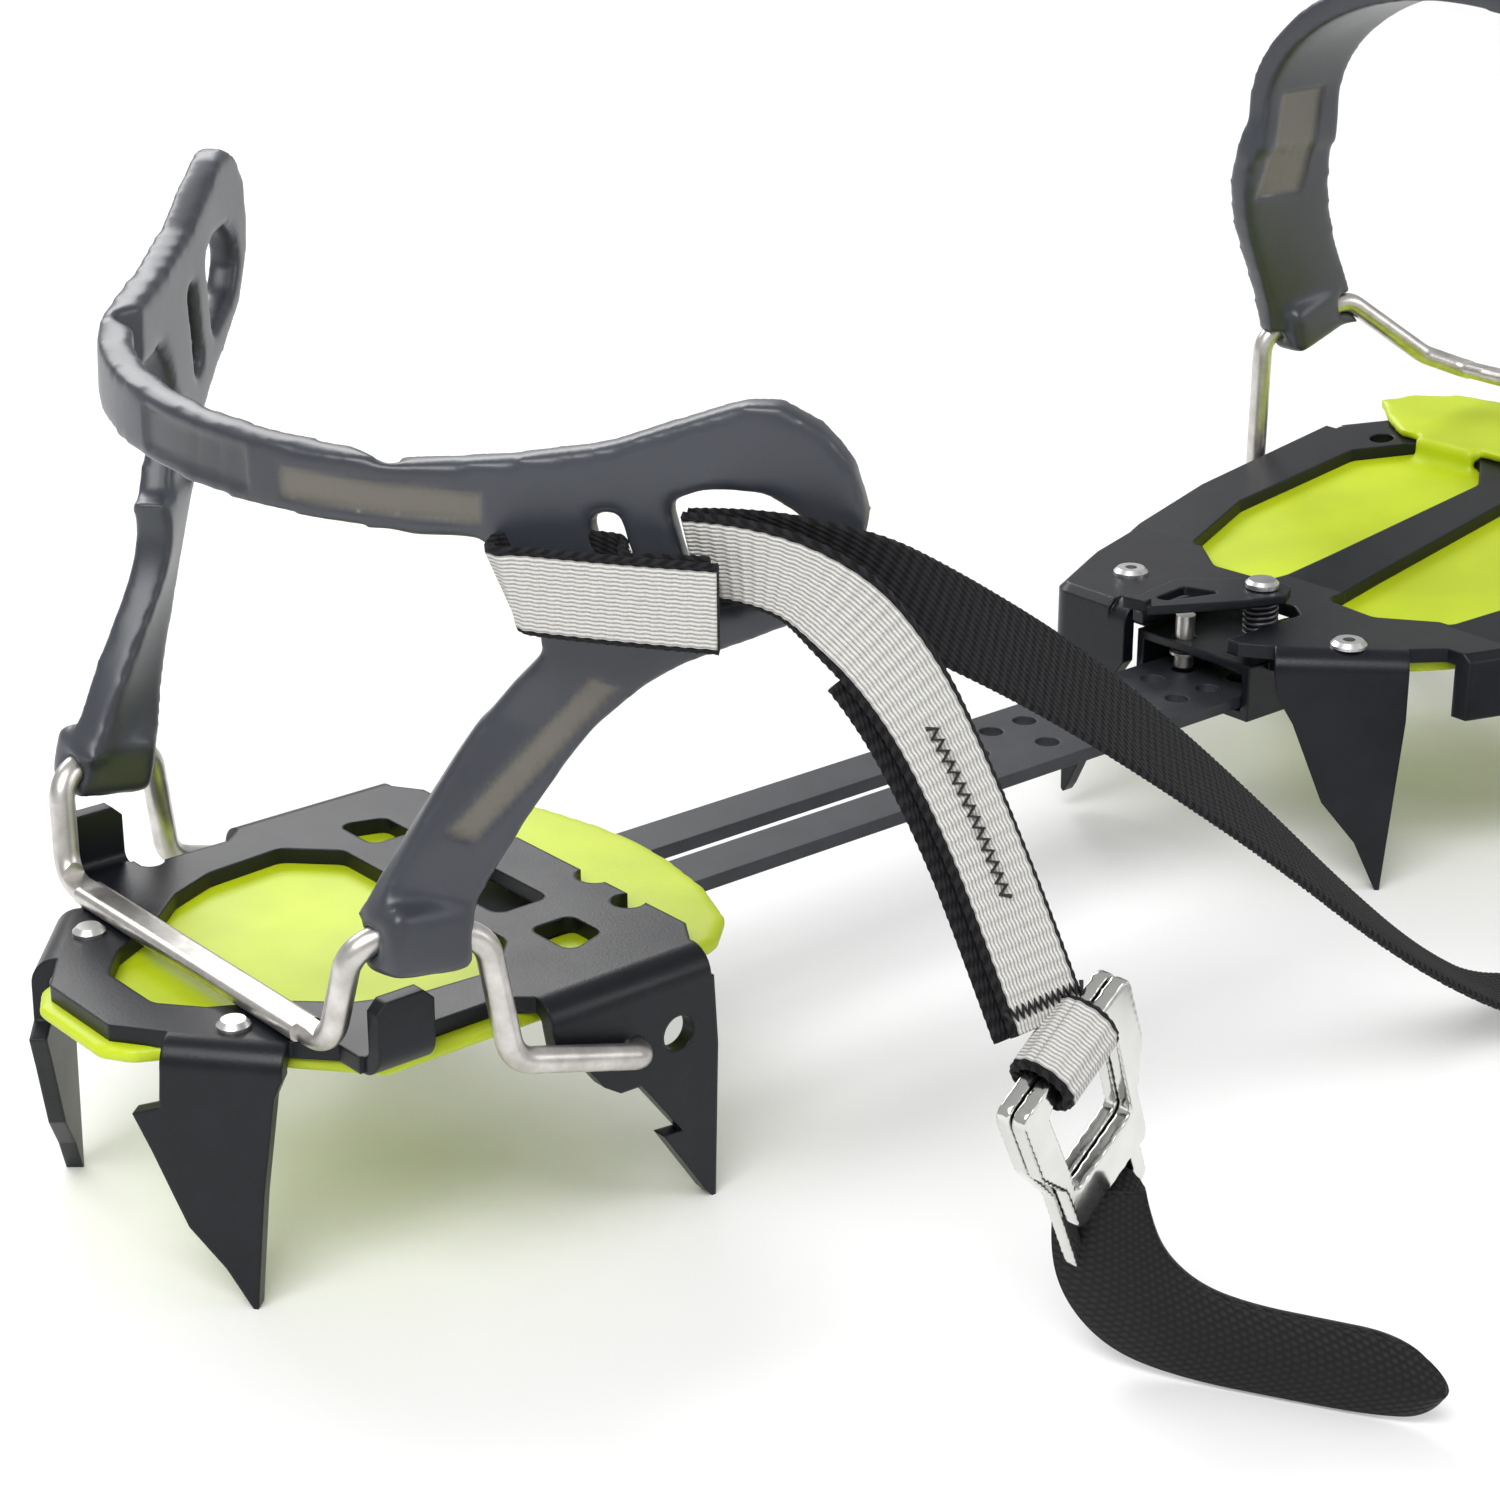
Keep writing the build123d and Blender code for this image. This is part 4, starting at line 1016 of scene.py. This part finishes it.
class CRAMPON_OT_stage(bpy.types.Operator):
    """Set the pale floor, the soft light and the camera"""

    bl_idname = "crampon.stage"
    bl_label = "Stage"

    def execute(self, context):
        scene = context.scene
        mesh = bpy.data.meshes.new("floor")
        half = FLOOR_SIZE / 2
        corners = [(-half, -half, 0), (half, -half, 0), (half, half, 0), (-half, half, 0)]
        mesh.from_pydata(corners, [], [(0, 1, 2, 3)])
        floor = link_piece("floor", mesh)
        pale = Finish("pale floor")
        pale.join(pale.ramp(pale.noise(3.0), [(0.3, (0.86, 0.86, 0.86)), (0.7, (0.88, 0.88, 0.88))]),
                  pale.shader.inputs["Base Color"])
        pale.set(Roughness=0.9)
        mesh.materials.append(pale.material)
        world = bpy.data.worlds.new("studio")
        world.use_nodes = True
        background = world.node_tree.nodes["Background"]
        background.inputs["Color"].default_value = (1.0, 1.0, 1.0, 1.0)
        background.inputs["Strength"].default_value = WORLD_STRENGTH
        scene.world = world
        middle = Vector((0, 0, 0.06))
        area_light("key", (-0.9, -0.5, 1.3), (1.0, 0.8), 19, middle)
        area_light("fill", (0.9, -1.3, 0.8), (1.0, 0.8), 6, middle)
        area_light("rim", (0.2, 1.3, 1.0), (1.4, 0.6), 15, middle)
        data = bpy.data.cameras.new("camera")
        data.lens = CAMERA_LENS
        data.sensor_width = CAMERA_SENSOR
        camera = link_piece("camera", data)
        camera.location = heel(*CAMERA_PLACE)
        camera.rotation_euler = (math.radians(90 - CAMERA_DROP), math.radians(CAMERA_ROLL),
                                 math.radians(CAMERA_HEADING - 90))
        scene.camera = camera
        scene.view_settings.view_transform = "Standard"
        return {"FINISHED"}


PIECES = (
    CRAMPON_OT_frames, CRAMPON_OT_wires, CRAMPON_OT_sheets, CRAMPON_OT_harness, CRAMPON_OT_buckle,
    CRAMPON_OT_webbing, CRAMPON_OT_stage,
)


class CRAMPON_PT_builder(bpy.types.Panel):
    """The crampon's pieces and their sizes and colours"""

    bl_idname = "CRAMPON_PT_builder"
    bl_label = "Crampon"
    bl_space_type = "VIEW_3D"
    bl_region_type = "UI"
    bl_category = "Crampon"

    def draw(self, context):
        for settings in (context.scene.crampon_sizes, context.scene.crampon_colours):
            box = self.layout.box()
            for name in settings.__annotations__:
                box.prop(settings, name)
        for piece in PIECES:
            self.layout.operator(piece.bl_idname)


CLASSES = (CramponSizes, CramponColours, *PIECES, CRAMPON_PT_builder)


def register():
    for kind in CLASSES:
        bpy.utils.register_class(kind)
    bpy.types.Scene.crampon_sizes = PointerProperty(type=CramponSizes)
    bpy.types.Scene.crampon_colours = PointerProperty(type=CramponColours)


def unregister():
    del bpy.types.Scene.crampon_colours
    del bpy.types.Scene.crampon_sizes
    for kind in reversed(CLASSES):
        bpy.utils.unregister_class(kind)


def main():
    register()
    bpy.ops.crampon.frames()
    bpy.ops.crampon.wires()
    bpy.ops.crampon.sheets()
    bpy.ops.crampon.harness()
    bpy.ops.crampon.buckle()
    bpy.ops.crampon.webbing()
    bpy.ops.crampon.stage()


if __name__ == "__main__":
    main()
